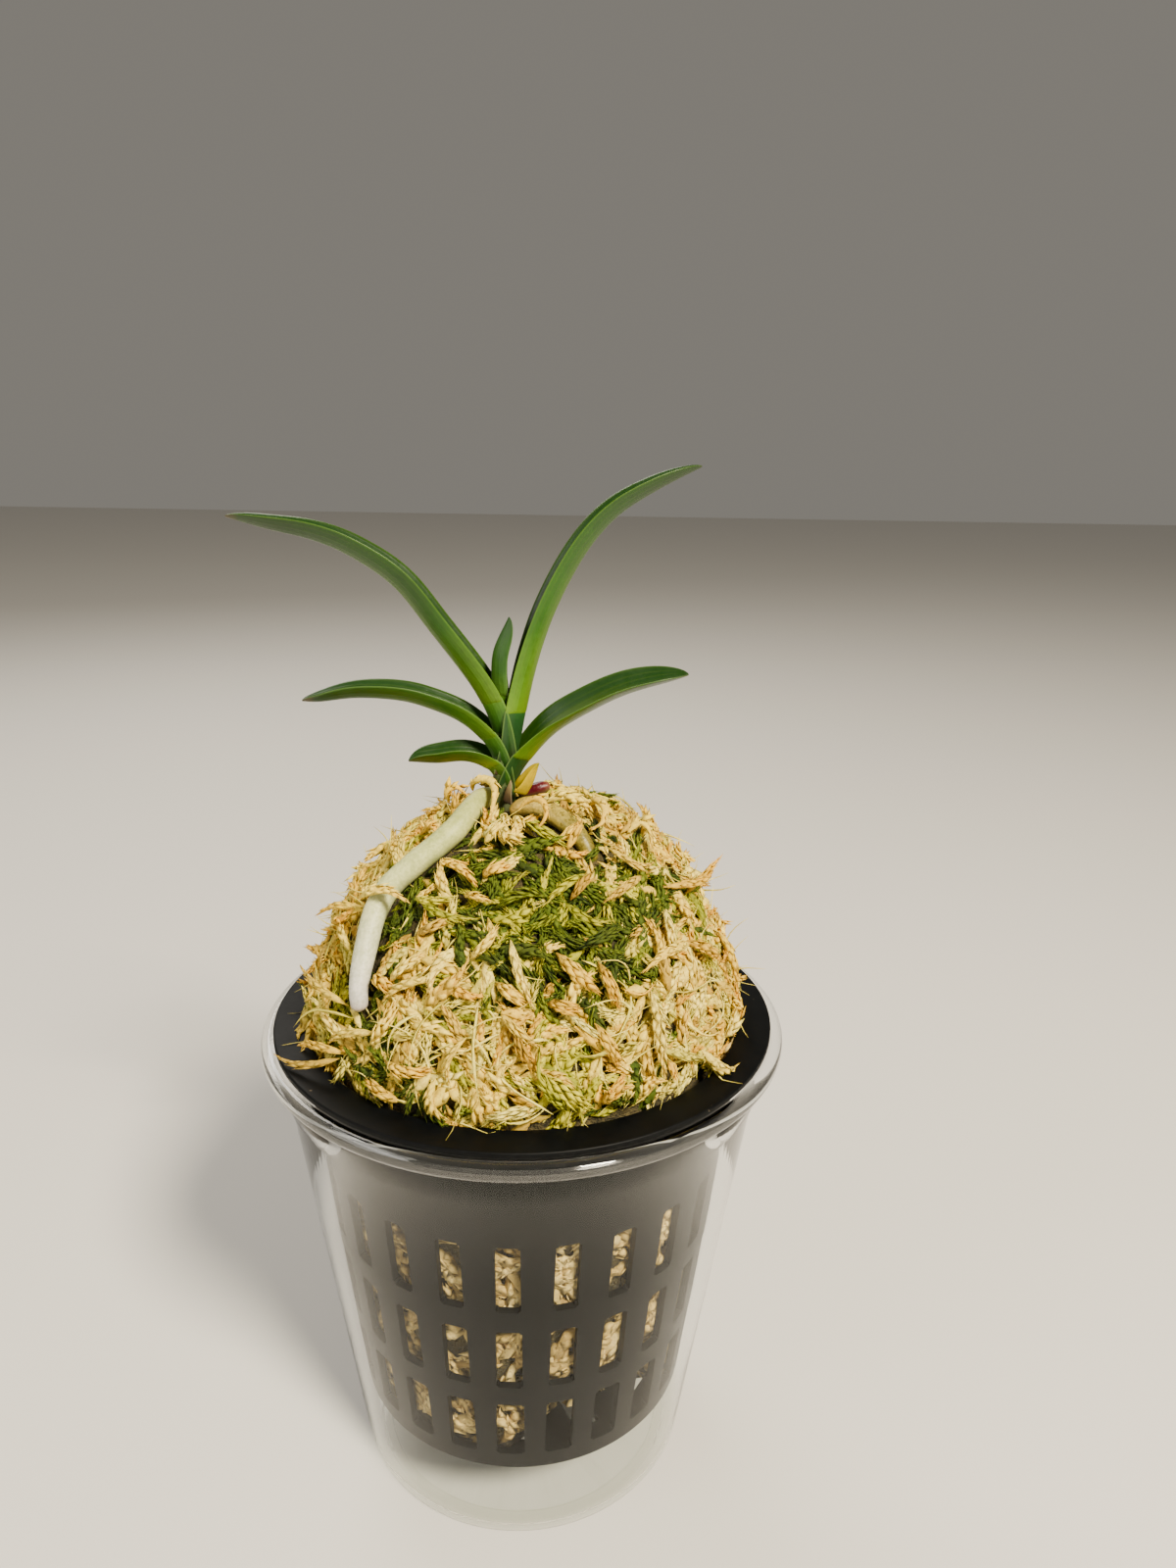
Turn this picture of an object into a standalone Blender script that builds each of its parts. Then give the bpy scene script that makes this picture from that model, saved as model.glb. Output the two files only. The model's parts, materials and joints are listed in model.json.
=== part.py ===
# Wind orchid seedling in moss, in a slotted net pot that hangs by its flange in a clear cup.
# Units are metres and +Z is up. The origin is the centre of the face that the cup stands on,
# and the fan of leaves lies in the XZ plane and is seen from -Y.
import math
import random

import bmesh
import bpy
from mathutils import Matrix, Vector, noise

MM = 0.001
TURN = 2.0 * math.pi
GAP = 0.3 * MM
MERGE = 0.001 * MM

# Clear cup
CUP_HEIGHT = 90.0 * MM
CUP_RIM_RADIUS = 47.5 * MM
CUP_BEAD_RADIUS = 1.5 * MM
CUP_FOOT_RADIUS = 32.0 * MM
CUP_TAPER = 0.14
CUP_WALL = 0.8 * MM
CUP_FLOOR = 1.3 * MM
CUP_HEEL = 1.5 * MM
CUP_LEDGE_HEIGHT = 80.0 * MM
CUP_LEDGE_WIDTH = 0.7 * MM
CUP_GROOVE_INNER = 27.5 * MM
CUP_GROOVE_OUTER = 29.5 * MM
CUP_GROOVE_DEPTH = 0.7 * MM
CUP_STEPS = 44

# Net pot
POT_FLANGE_RADIUS = 45.2 * MM
POT_FLANGE_BOTTOM = 90.1 * MM
POT_FLANGE_THICKNESS = 1.0 * MM
POT_TOP_RADIUS = 40.5 * MM
POT_FLOOR_RADIUS = 31.9 * MM
POT_BOTTOM = 15.6 * MM
POT_WALL = 1.4 * MM
POT_ROUNDING = 0.4 * MM
POT_STEPS = 48
SLOT_COLUMNS = 24
SLOT_TURN = math.radians(-94.2)
SLOT_ROWS = [
    (54.0 * MM, 68.3 * MM, 4.2 * MM),
    (36.3 * MM, 49.5 * MM, 4.5 * MM),
    (19.5 * MM, 32.1 * MM, 4.9 * MM),
]
FLOOR_SLOTS = 12
FLOOR_SLOT_WIDTH = 4.6 * MM
FLOOR_SLOT_INNER = 11.0 * MM
FLOOR_SLOT_OUTER = 27.0 * MM

# Moss, as radius and height of the heap's outer surface, crown first
HEAP_PROFILE = [
    (0.0, 131.4), (6.0, 131.1), (12.0, 129.8), (18.0, 127.0), (24.0, 122.6),
    (29.0, 117.4), (33.0, 111.2), (36.2, 104.5), (38.1, 98.0), (38.8, 94.0),
]
HEAP_LEAN = 1.5 * MM
HEAP_INSET = 0.8 * MM
HEAP_STEPS = 26
MOSS_NECK_HEIGHT = 91.5 * MM
MOSS_FILL_RINGS = 5
MOSS_HOLLOW_HEIGHT = 36.0 * MM
MOSS_HOLLOW_DEPTH = 9.0 * MM
MOSS_HOLLOW_TURN = math.radians(-62.0)
MOSS_HOLLOW_SPREAD = math.radians(34.0)
LUMP_HEIGHT = 1.0 * MM
LUMP_SIZE = 7.0 * MM
STRAND_COUNT = 126
STRAND_SEED = 13
STRAND_LENGTH = 12.0 * MM
STRAND_THICKNESS = 1.3 * MM
STRAND_SHARES = (0.0, 0.22, 0.5, 0.78, 1.0)
STRAND_GIRTHS = (0.0, 0.85, 1.0, 0.75, 0.0)
STRAND_BOW = 0.45
STRAND_CURVE = 34.0 * MM
STRAND_SINK = 0.9 * MM
STRAND_RISE = 1.5 * MM
STRAND_LIFT = 0.7 * MM
STRAY_LIFT = 2.6 * MM
STRAY_SHARE = 0.14
STRAND_INSET = 0.3 * MM
STRAND_REACH = 0.985
GREEN_STRAND_COUNT = 114
GREEN_SEED = 5
GREEN_STRAND_LENGTH = 11.0 * MM
GREEN_STRAND_THICKNESS = 1.0 * MM
GOLDEN_TURN = math.pi * (3.0 - math.sqrt(5.0))

# Green patch over the crown, as an ellipse seen from above
PATCH_CENTRE = (6.0 * MM, -18.0 * MM)
PATCH_HALF_LENGTH = 20.0 * MM
PATCH_HALF_WIDTH = 11.0 * MM
PATCH_SLANT = 0.22
PATCH_THICKNESS = 1.8 * MM
PATCH_RAGGEDNESS = 0.1
GREEN_SPREAD = 0.94
DRY_LIMIT = 0.8
PATCH_RINGS = 3
PATCH_STEPS = 14

# Leaves, each as the line of its keel from the stem's foot to the tip in millimetres.
# joint is the keel point where the blade parts from its sheath, side is 1 for a leaf whose keel
# faces left and -1 for one that faces right, and fold is the rise of the two halves in degrees.
LEAVES = {
    "leaf_long_left": dict(
        side=1, joint=2, half=5.1, foot=0.72, fold=(60, 44), roll=0, sections=17,
        keel=[(-4.4, 0, 137), (-5.6, 0, 142.5), (-7.4, 0, 147.5), (-10.2, 0, 152.3), (-15.9, -0.3, 160),
              (-21.7, -0.7, 167.6), (-28.4, -1.2, 172.4), (-34.3, -1.6, 175), (-41.6, -2.1, 176.8),
              (-47.4, -2.6, 178.6)]),
    "leaf_long_right": dict(
        side=-1, joint=2, half=4.8, foot=0.75, fold=(60, 46), roll=4, sections=17,
        keel=[(-2.6, 0, 135), (-0.9, 0, 140.5), (0.2, 0, 146.3), (2.2, 0.3, 155.2), (5.2, 0.8, 164),
              (9.9, 1.4, 173), (14.9, 2, 179), (21.1, 2.6, 183.2), (28.9, 3.2, 187.4)]),
    "leaf_mid_left": dict(
        side=1, joint=2, half=4.5, foot=0.82, fold=(54, 42), roll=0, sections=13,
        keel=[(-4.7, 0, 133), (-5.6, 0, 137.6), (-7.5, 0, 141.4), (-11.3, -0.4, 144.9), (-16.3, -1, 147.3),
              (-21.2, -1.6, 148.8), (-28.1, -2.4, 149.4), (-34, -3, 148.9), (-37, -3.3, 149.1)]),
    "leaf_mid_right": dict(
        side=-1, joint=2, half=4.9, foot=0.75, fold=(54, 40), roll=16, sections=13,
        keel=[(-2.9, 0, 131), (-1.1, 0, 134.6), (0.7, 0, 137.7), (5.3, -0.6, 143.2), (11.4, -1.3, 147.3),
              (17.4, -1.9, 150.4), (24.9, -2.6, 152.9), (27.4, -2.9, 153.9)]),
    "leaf_low_left": dict(
        side=1, joint=2, half=4.4, foot=0.8, fold=(52, 46), roll=4, sections=9,
        keel=[(-4.5, 0, 130.5), (-5.2, 0, 133.7), (-6.6, 0, 136.3), (-10.2, -0.6, 138),
              (-15.1, -1.2, 137.8), (-20, -1.8, 138.3)]),
    "leaf_new": dict(
        side=1, joint=1, half=3.3, foot=0.65, fold=(70, 66), roll=0, sections=8,
        keel=[(-4.6, 0, 141), (-5.6, 0, 149.4), (-6.0, 0, 153.2), (-5.5, 0.3, 157.7),
              (-2.9, 0.8, 162.9)]),
    "leaf_old": dict(
        side=-1, joint=0, half=2.7, foot=1.0, fold=(62, 58), roll=10, sections=6,
        keel=[(0.1, -2.4, 132.3), (1.5, -2.4, 134.9), (2.4, -2.4, 138.3)]),
    "sheath_dry": dict(
        side=1, joint=0, half=1.9, foot=1.0, fold=(62, 50), roll=0, sections=5,
        keel=[(-3.9, -3.3, 131.6), (-3.6, -3.4, 133.4), (-2.6, -3.4, 135.6)]),
}
LOW_LEAVES = ("leaf_low_left", "leaf_old", "sheath_dry")
BLADE_THICKNESS = 0.75 * MM
MARGIN_THICKNESS = 0.62 * MM
FOLD_BEND = math.radians(34.0)
FOOT_FOLD = math.radians(8.0)
TIP_TAPER = 0.965
TIP_START = 5.0
TIP_ROUNDNESS = 0.6
TIP_CROWDING = 1.3
KEEL_SHARPNESS = 0.5
SHEATH_SECTIONS = 4
ROUTE_POINTS = 200

# Stem inside the sheaths, as height and radius at the fan's middle line
STEM_LEVELS = [(124.5, 1.6), (127.0, 2.3), (131.0, 2.4), (136.0, 2.0), (142.0, 1.6), (147.0, 1.0)]
STEM_FOOT = (-3.8, 0.0)
STEM_STEPS = 8

# Roots, each as points along its middle line and the radius there, in millimetres
ROOTS = {
    "root_left": [
        (-5.2, 0.8, 131.0, 1.7), (-7.4, -2.2, 131.9, 2.0), (-9.6, -6.8, 130.9, 2.15),
        (-12.4, -10.9, 128.5, 2.2), (-18.2, -13.6, 124.2, 2.2), (-22.3, -15.2, 120.7, 2.15),
        (-24.4, -17.5, 117.2, 2.1),
        (-25.3, -20.2, 113.8, 1.9), (-26.0, -22.7, 110.4, 1.6), (-26.4, -24.8, 107.2, 1.25),
        (-26.2, -25.6, 103.8, 0.9),
    ],
    "root_right": [
        (-2.2, -4.9, 129.6, 1.4), (-0.6, -5.6, 131.4, 1.7), (1.8, -6.2, 131.8, 1.85),
        (4.6, -7.9, 131.0, 1.85), (7.4, -10.2, 129.6, 1.75), (9.6, -12.6, 127.6, 1.6),
        (11.2, -14.2, 124.4, 1.3),
    ],
    "root_tip": [
        (-1.4, 1.6, 131.6, 1.0), (0.8, 1.7, 132.0, 1.25), (2.6, 1.8, 132.5, 1.3), (4.3, 1.9, 133.0, 0.75),
    ],
}
ROOT_STEPS = 18

# Finishes: colour, roughness, metallic, alpha
FINISHES = {
    "outer_cup": ((0.86, 0.88, 0.87), 0.12, 0.0, 0.25),
    "net_pot": ((0.012, 0.013, 0.014), 0.42, 0.0, 1.0),
    "moss_mound": ((0.72, 0.56, 0.32), 0.85, 0.0, 1.0),
    "green_moss": ((0.16, 0.24, 0.04), 0.8, 0.0, 1.0),
    "stem": ((0.12, 0.26, 0.06), 0.4, 0.0, 1.0),
    "leaf": ((0.05, 0.2, 0.03), 0.35, 0.0, 1.0),
    "leaf_old": ((0.85, 0.58, 0.02), 0.45, 0.0, 1.0),
    "sheath_dry": ((0.36, 0.25, 0.18), 0.7, 0.0, 1.0),
    "root_left": ((0.56, 0.6, 0.46), 0.6, 0.0, 1.0),
    "root_right": ((0.62, 0.58, 0.4), 0.6, 0.0, 1.0),
    "root_tip": ((0.2, 0.01, 0.03), 0.35, 0.0, 1.0),
}


def clear_scene():
    for item in list(bpy.data.objects):
        bpy.data.objects.remove(item, do_unlink=True)
    for name in ("wind_orchid", "cutters"):
        group = bpy.data.collections.get(name)
        if group is None:
            group = bpy.data.collections.new(name)
            bpy.context.scene.collection.children.link(group)


def link(piece, group):
    bpy.data.collections[group].objects.link(piece)
    if group == "cutters":
        piece.hide_render = True
        piece.display_type = "WIRE"
    return piece


def finish_material(name):
    colour, roughness, metallic, alpha = FINISHES.get(name, FINISHES["leaf"])
    material = bpy.data.materials.new(name)
    material.use_nodes = True
    shader = material.node_tree.nodes["Principled BSDF"]
    shader.inputs["Base Color"].default_value = (*colour, 1.0)
    shader.inputs["Roughness"].default_value = roughness
    shader.inputs["Metallic"].default_value = metallic
    shader.inputs["Alpha"].default_value = alpha
    return material


def dress(piece, angle=40.0):
    piece.data.materials.clear()
    piece.data.materials.append(finish_material(piece.name))
    piece.data.shade_smooth()
    piece.data.set_sharp_from_angle(angle=math.radians(angle))
    return piece


def from_shape(name, shape, group="wind_orchid"):
    mesh = bpy.data.meshes.new(name)
    shape.to_mesh(mesh)
    shape.free()
    return link(bpy.data.objects.new(name, mesh), group)


def bake(piece):
    graph = bpy.context.evaluated_depsgraph_get()
    mesh = bpy.data.meshes.new_from_object(piece.evaluated_get(graph))
    piece.modifiers.clear()
    piece.data = mesh
    return piece


def turned(name, profile, steps, group="wind_orchid"):
    # The profile runs from the axis up the inner side and down the outer side to the axis.
    mesh = bpy.data.meshes.new(name)
    points = [(radius, 0.0, height) for radius, height in profile]
    mesh.from_pydata(points, [(k, k + 1) for k in range(len(points) - 1)], [])
    piece = link(bpy.data.objects.new(name, mesh), group)
    screw = piece.modifiers.new("turn", "SCREW")
    screw.angle = TURN
    screw.steps = steps
    screw.render_steps = steps
    screw.use_merge_vertices = True
    screw.merge_threshold = MERGE
    return piece


def combine(piece, others, operation, solver="EXACT"):
    # Joins others to the piece or cuts them from it in one Boolean, then removes them.
    group = bpy.data.collections.new("tools")
    bpy.context.scene.collection.children.link(group)
    for other in others:
        group.objects.link(other)
    change = piece.modifiers.new(operation.lower(), "BOOLEAN")
    change.operation = operation
    change.operand_type = "COLLECTION"
    change.collection = group
    change.solver = solver
    bake(piece)
    for other in others:
        bpy.data.objects.remove(other, do_unlink=True)
    bpy.data.collections.remove(group)
    return piece


def drop_scraps(piece):
    # Keeps the largest connected body and deletes what a cut left loose.
    shape = bmesh.new()
    shape.from_mesh(piece.data)
    unseen = set(shape.verts)
    bodies = []
    while unseen:
        stack = [unseen.pop()]
        body = list(stack)
        while stack:
            for edge in stack.pop().link_edges:
                for vert in edge.verts:
                    if vert in unseen:
                        unseen.remove(vert)
                        stack.append(vert)
                        body.append(vert)
        bodies.append(body)
    bodies.sort(key=len)
    loose = [vert for body in bodies[:-1] for vert in body]
    bmesh.ops.delete(shape, geom=loose, context="VERTS")
    shape.to_mesh(piece.data)
    shape.free()
    return piece


def arc(centre_x, centre_z, radius, start, end, count):
    turns = [math.radians(start + (end - start) * k / count) for k in range(count + 1)]
    return [(centre_x + radius * math.cos(a), centre_z + radius * math.sin(a)) for a in turns]


def cup_side(height):
    return CUP_FOOT_RADIUS + CUP_TAPER * height


def build_cup():
    bead_x = CUP_RIM_RADIUS - CUP_BEAD_RADIUS
    bead_z = CUP_HEIGHT - CUP_BEAD_RADIUS
    ledge_top = CUP_LEDGE_HEIGHT + CUP_LEDGE_WIDTH
    ledge_side = cup_side(CUP_LEDGE_HEIGHT) + CUP_LEDGE_WIDTH
    neck_side = bead_x - CUP_BEAD_RADIUS + CUP_WALL / 2
    heel_x = cup_side(CUP_HEEL) - CUP_HEEL
    inner = [(0.0, CUP_FLOOR)]
    inner += arc(heel_x - CUP_WALL / 2, CUP_FLOOR + CUP_HEEL, CUP_HEEL, -90, 0, 2)
    inner += [(cup_side(CUP_LEDGE_HEIGHT) - CUP_WALL, CUP_LEDGE_HEIGHT), (ledge_side - CUP_WALL, ledge_top)]
    bead = arc(bead_x, bead_z, CUP_BEAD_RADIUS, 180, -120, 7)
    outer = [(neck_side, bead_z - 1.2 * CUP_BEAD_RADIUS), (ledge_side, ledge_top)]
    outer += [(cup_side(CUP_LEDGE_HEIGHT), CUP_LEDGE_HEIGHT)]
    outer += arc(heel_x, CUP_HEEL, CUP_HEEL, 0, -90, 2)
    groove = [(CUP_GROOVE_OUTER, 0.0), (CUP_GROOVE_OUTER, CUP_GROOVE_DEPTH)]
    groove += [(CUP_GROOVE_INNER, CUP_GROOVE_DEPTH), (CUP_GROOVE_INNER, 0.0), (0.0, 0.0)]
    cup = turned("outer_cup", inner + bead + outer + groove, CUP_STEPS)
    return dress(bake(cup), 30.0)


def pot_side(height):
    share = (height - POT_BOTTOM) / (POT_FLANGE_BOTTOM - POT_BOTTOM)
    return POT_FLOOR_RADIUS + (POT_TOP_RADIUS - POT_FLOOR_RADIUS) * share


def box_cutter(name, size, place, turn):
    shape = bmesh.new()
    bmesh.ops.create_cube(shape, size=1.0)
    for vert in shape.verts:
        vert.co = Vector((vert.co.x * size[0], vert.co.y * size[1], vert.co.z * size[2])) + Vector(place)
    cutter = from_shape(name, shape, "cutters")
    cutter.rotation_euler.z = turn
    return cutter


def build_pot():
    flange_top = POT_FLANGE_BOTTOM + POT_FLANGE_THICKNESS
    floor_top = POT_BOTTOM + POT_WALL
    mouth = pot_side(flange_top) - POT_WALL
    profile = [
        (0.0, floor_top),
        (pot_side(floor_top) - POT_WALL, floor_top),
        (mouth, flange_top - POT_ROUNDING),
        (mouth + POT_ROUNDING, flange_top),
        (POT_FLANGE_RADIUS - POT_ROUNDING, flange_top),
        (POT_FLANGE_RADIUS, flange_top - POT_ROUNDING),
        (POT_FLANGE_RADIUS, POT_FLANGE_BOTTOM),
        (POT_TOP_RADIUS, POT_FLANGE_BOTTOM),
        (pot_side(POT_BOTTOM + POT_WALL / 2), POT_BOTTOM + POT_WALL / 2),
        (POT_FLOOR_RADIUS - POT_WALL / 2, POT_BOTTOM),
        (0.0, POT_BOTTOM),
    ]
    pot = bake(turned("net_pot", profile, POT_STEPS))
    pot.data.transform(Matrix.Rotation(SLOT_TURN, 4, "Z"))
    cutters = []
    for column in range(SLOT_COLUMNS):
        turn = SLOT_TURN + TURN * column / SLOT_COLUMNS
        for low, high, width in SLOT_ROWS:
            middle = (low + high) / 2
            size = (5 * POT_WALL, width, high - low)
            place = (pot_side(middle) - POT_WALL / 2, 0.0, middle)
            cutters.append(box_cutter("slot", size, place, turn))
    for spoke in range(FLOOR_SLOTS):
        turn = SLOT_TURN + TURN * spoke / FLOOR_SLOTS
        size = (FLOOR_SLOT_OUTER - FLOOR_SLOT_INNER, FLOOR_SLOT_WIDTH, 4 * POT_WALL)
        place = ((FLOOR_SLOT_OUTER + FLOOR_SLOT_INNER) / 2, 0.0, POT_BOTTOM + POT_WALL / 2)
        cutters.append(box_cutter("floor_slot", size, place, turn))
    combine(pot, cutters, "DIFFERENCE")
    return dress(pot, 30.0)


def smooth_route(points, count):
    # Evenly spaced points on a smooth curve through the given ones, with any extra values carried.
    size = len(points[0])

    def at(position):
        k = min(int(position), len(points) - 2)
        share = position - k
        around = [points[min(max(k + j, 0), len(points) - 1)] for j in (-1, 0, 1, 2)]
        out = []
        for axis in range(size):
            a, b, c, d = (p[axis] for p in around)
            out.append(0.5 * (2 * b + (c - a) * share + (2 * a - 5 * b + 4 * c - d) * share ** 2
                              + (3 * b - a - 3 * c + d) * share ** 3))
        return out

    fine = [at((len(points) - 1) * k / 400) for k in range(401)]
    lengths = [0.0]
    for before, after in zip(fine, fine[1:]):
        lengths.append(lengths[-1] + math.dist(before[:3], after[:3]))
    route = []
    j = 0
    for k in range(count):
        target = lengths[-1] * k / (count - 1)
        while lengths[j + 1] < target and j < 399:
            j += 1
        share = (target - lengths[j]) / (lengths[j + 1] - lengths[j])
        route.append([a + (b - a) * min(share, 1.0) for a, b in zip(fine[j], fine[j + 1])])
    return route


def loft(rings):
    # A closed solid through rings of paired outer and inner points, split alike on both faces.
    shape = bmesh.new()
    count = len(rings[0])
    half = count // 2
    rows = [[shape.verts.new(point) for point in ring] for ring in rings]
    for low, high in zip(rows, rows[1:]):
        for k in range(count):
            j = (k + 1) % count
            a, b, c, d = low[k], low[j], high[j], high[k]
            if k < half:
                shape.faces.new((a, b, c))
                shape.faces.new((a, c, d))
            else:
                shape.faces.new((a, b, d))
                shape.faces.new((b, c, d))
    for row in (rows[0], rows[-1]):
        for k in range(half - 1):
            shape.faces.new((row[k], row[k + 1], row[count - 2 - k], row[count - 1 - k]))
    bmesh.ops.recalc_face_normals(shape, faces=shape.faces[:])
    return shape


def leaf_frames(leaf):
    # The leaf's keel line, and the share of its length where the sheath ends and the blade starts.
    keel = [tuple(value * MM for value in point) for point in leaf["keel"]]
    joint = leaf["joint"]
    route = smooth_route(keel, ROUTE_POINTS)
    joint_share = 0.0
    if joint:
        nearest = min(range(ROUTE_POINTS), key=lambda k: math.dist(route[k], keel[joint]))
        joint_share = nearest / (ROUTE_POINTS - 1)
    return route, joint_share


def leaf_section(leaf, route, share, joint_share, filled, grow):
    position = min(max(share, 0.0), 1.0) * (len(route) - 1)
    k = min(int(position), len(route) - 2)
    start, end = Vector(route[k]), Vector(route[k + 1])
    point = start.lerp(end, position - k)
    tangent = (Vector(route[min(k + 3, len(route) - 1)]) - Vector(route[max(k - 2, 0)])).normalized()
    facing = Vector((0.0, -1.0, 0.0))
    rise = (tangent.cross(facing) * leaf["side"]).normalized()
    facing = rise.cross(tangent).normalized() * leaf["side"]
    roll = math.radians(leaf["roll"]) * min(1.0, max(0.0, share - joint_share) * 4.0)
    rise, facing = (rise * math.cos(roll) + facing * math.sin(roll),
                    facing * math.cos(roll) - rise * math.sin(roll))
    base_fold, tip_fold = (math.radians(angle) for angle in leaf["fold"])
    along = max(0.0, (share - joint_share) / (1.0 - joint_share))
    fold = base_fold + (tip_fold - base_fold) * along
    width = leaf["half"] * MM * (1.0 - TIP_TAPER * along ** TIP_START) ** TIP_ROUNDNESS
    if share < joint_share:
        width *= leaf["foot"] + (1.0 - leaf["foot"]) * share / joint_share
        fold += FOOT_FOLD * (1.0 - share / joint_share)
    thickness = BLADE_THICKNESS
    fold = min(fold, math.atan2(0.75 * width, thickness) - 0.25 * FOLD_BEND)
    outer = {}
    inner = {}
    for side in (1, -1):
        spot = point.copy()
        for step, stretch in ((0, 0.0), (1, 0.5), (2, 0.5)):
            angle = fold + FOLD_BEND * (step * 0.5 - 0.75) * (1.0 - 0.4 * along)
            direction = facing * side * math.cos(angle) + rise * math.sin(angle)
            inward = rise * math.cos(angle) - facing * side * math.sin(angle)
            spot = spot + direction * (width * stretch)
            depth = thickness + (MARGIN_THICKNESS - thickness) * step / 2
            edge = direction * grow if step == 2 else Vector()
            outer[(side, step)] = spot - inward * grow + edge
            inner[(side, step)] = spot + inward * (depth + grow) + edge
    keel_angle = fold - FOLD_BEND * 0.75 * (1.0 - 0.4 * along)
    keel_spread = max(math.cos(keel_angle), KEEL_SHARPNESS)
    outer_keel = point - rise * grow / keel_spread
    channel = point + rise * (thickness + grow) / keel_spread
    ring = [outer[(1, 2)], outer[(1, 1)], outer_keel, outer[(-1, 1)], outer[(-1, 2)]]
    if filled:
        front, back = outer[(1, 2)] + rise * grow, outer[(-1, 2)] + rise * grow
        lid = [back.lerp(front, step / 4) + rise * (0.12 * width * math.sin(math.pi * step / 4))
               for step in range(5)]
        lid[0], lid[4] = back + (rise + facing * -0.2) * 0.1 * MM, front + (rise + facing * 0.2) * 0.1 * MM
        return ring + lid, tangent
    ring += [inner[(-1, 2)], inner[(-1, 1)], channel, inner[(1, 1)], inner[(1, 2)]]
    return ring, tangent


def leaf_solid(leaf, first, last, sections, filled, grow, joint_share, route):
    rings = []
    for k in range(sections):
        step = k / (sections - 1)
        if last == 1.0:
            step = 1.0 - (1.0 - step) ** TIP_CROWDING
        share = first + (last - first) * step
        ring, tangent = leaf_section(leaf, route, share, joint_share, filled, grow)
        stretch = tangent * grow * ((k == sections - 1) - (k == 0))
        rings.append([point + stretch for point in ring])
    return loft(rings)


def build_blade(name, grow=0.0):
    leaf = LEAVES[name]
    route, joint_share = leaf_frames(leaf)
    length = sum(math.dist(a, b) for a, b in zip(route, route[1:]))
    first = joint_share + GAP / 2 / length if leaf["joint"] else 0.0
    shape = leaf_solid(leaf, first, 1.0, leaf["sections"], grow > 0.0, grow, joint_share, route)
    return from_shape(name if grow == 0.0 else "clearance", shape,
                      "wind_orchid" if grow == 0.0 else "cutters")


def tube(name, points, steps, grow, group):
    # A root: a curve with a bevel whose radius follows the points.
    route = smooth_route([tuple(value * MM for value in point) for point in points], steps)
    curve = bpy.data.curves.new(name, "CURVE")
    curve.dimensions = "3D"
    curve.bevel_depth = 1.0 * MM
    curve.bevel_resolution = 2
    curve.use_fill_caps = True
    spline = curve.splines.new("POLY")
    spline.points.add(len(route) - 1)
    ends = (Vector(route[0][:3]) - Vector(route[1][:3]), Vector(route[-1][:3]) - Vector(route[-2][:3]))
    for k, (x, y, z, radius) in enumerate(route):
        place = Vector((x, y, z))
        if k == 0:
            place += ends[0].normalized() * grow
        if k == len(route) - 1:
            place += ends[1].normalized() * grow
        spline.points[k].co = (*place, 1.0)
        spline.points[k].radius = (radius + grow) / (1.0 * MM)
    guide = link(bpy.data.objects.new(name + "_line", curve), group)
    graph = bpy.context.evaluated_depsgraph_get()
    mesh = bpy.data.meshes.new_from_object(guide.evaluated_get(graph))
    bpy.data.objects.remove(guide, do_unlink=True)
    shape = bmesh.new()
    shape.from_mesh(mesh)
    bmesh.ops.remove_doubles(shape, verts=shape.verts[:], dist=MERGE)
    bmesh.ops.recalc_face_normals(shape, faces=shape.faces[:])
    return from_shape(name, shape, group)


def build_stem(grow=0.0):
    # The stem with the sheaths of all its leaves, which wrap each other like chevrons.
    group = "wind_orchid" if grow == 0.0 else "cutters"
    core = [(STEM_FOOT[0], STEM_FOOT[1], height, radius) for height, radius in STEM_LEVELS]
    stem = tube("stem" if grow == 0.0 else "clearance", core, STEM_STEPS, grow, group)
    sheaths = []
    for leaf in LEAVES.values():
        if leaf["joint"]:
            route, joint_share = leaf_frames(leaf)
            length = sum(math.dist(a, b) for a, b in zip(route, route[1:]))
            last = joint_share - GAP / 2 / length
            shape = leaf_solid(leaf, 0.0, last, SHEATH_SECTIONS, True, grow, joint_share, route)
            sheaths.append(from_shape("sheath", shape, "cutters"))
    return drop_scraps(combine(stem, sheaths, "UNION"))


def heap_point(share, turn, inset=0.0):
    # A point on the heap and the way its surface faces; share runs from crown to neck.
    position = share * (len(HEAP_PROFILE) - 1)
    k = min(int(position), len(HEAP_PROFILE) - 2)
    (r0, z0), (r1, z1) = HEAP_PROFILE[k], HEAP_PROFILE[k + 1]
    part = position - k
    radius, height = (r0 + (r1 - r0) * part) * MM, (z0 + (z1 - z0) * part) * MM
    slope = Vector((z0 - z1, 0.0, r1 - r0)).normalized()
    low, high = HEAP_PROFILE[-1][1] * MM, HEAP_PROFILE[0][1] * MM
    lean = HEAP_LEAN * (height - low) / (high - low)
    outward = Vector((slope.x * math.cos(turn), slope.x * math.sin(turn), slope.z))
    place = Vector((radius * math.cos(turn) + lean, radius * math.sin(turn), height))
    return place - outward * inset, outward


def heap_share_by_area():
    # Shares of the profile that split the heap's area evenly, as a list of cumulative areas.
    areas = [0.0]
    for k in range(200):
        a, _ = heap_point(k / 200, 0.0)
        b, _ = heap_point((k + 1) / 200, 0.0)
        areas.append(areas[-1] + (a - b).length * (a.x + b.x) / 2)
    return [area / areas[-1] for area in areas]


def moss_inner_radius(height):
    return pot_side(height) - POT_WALL - GAP


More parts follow.
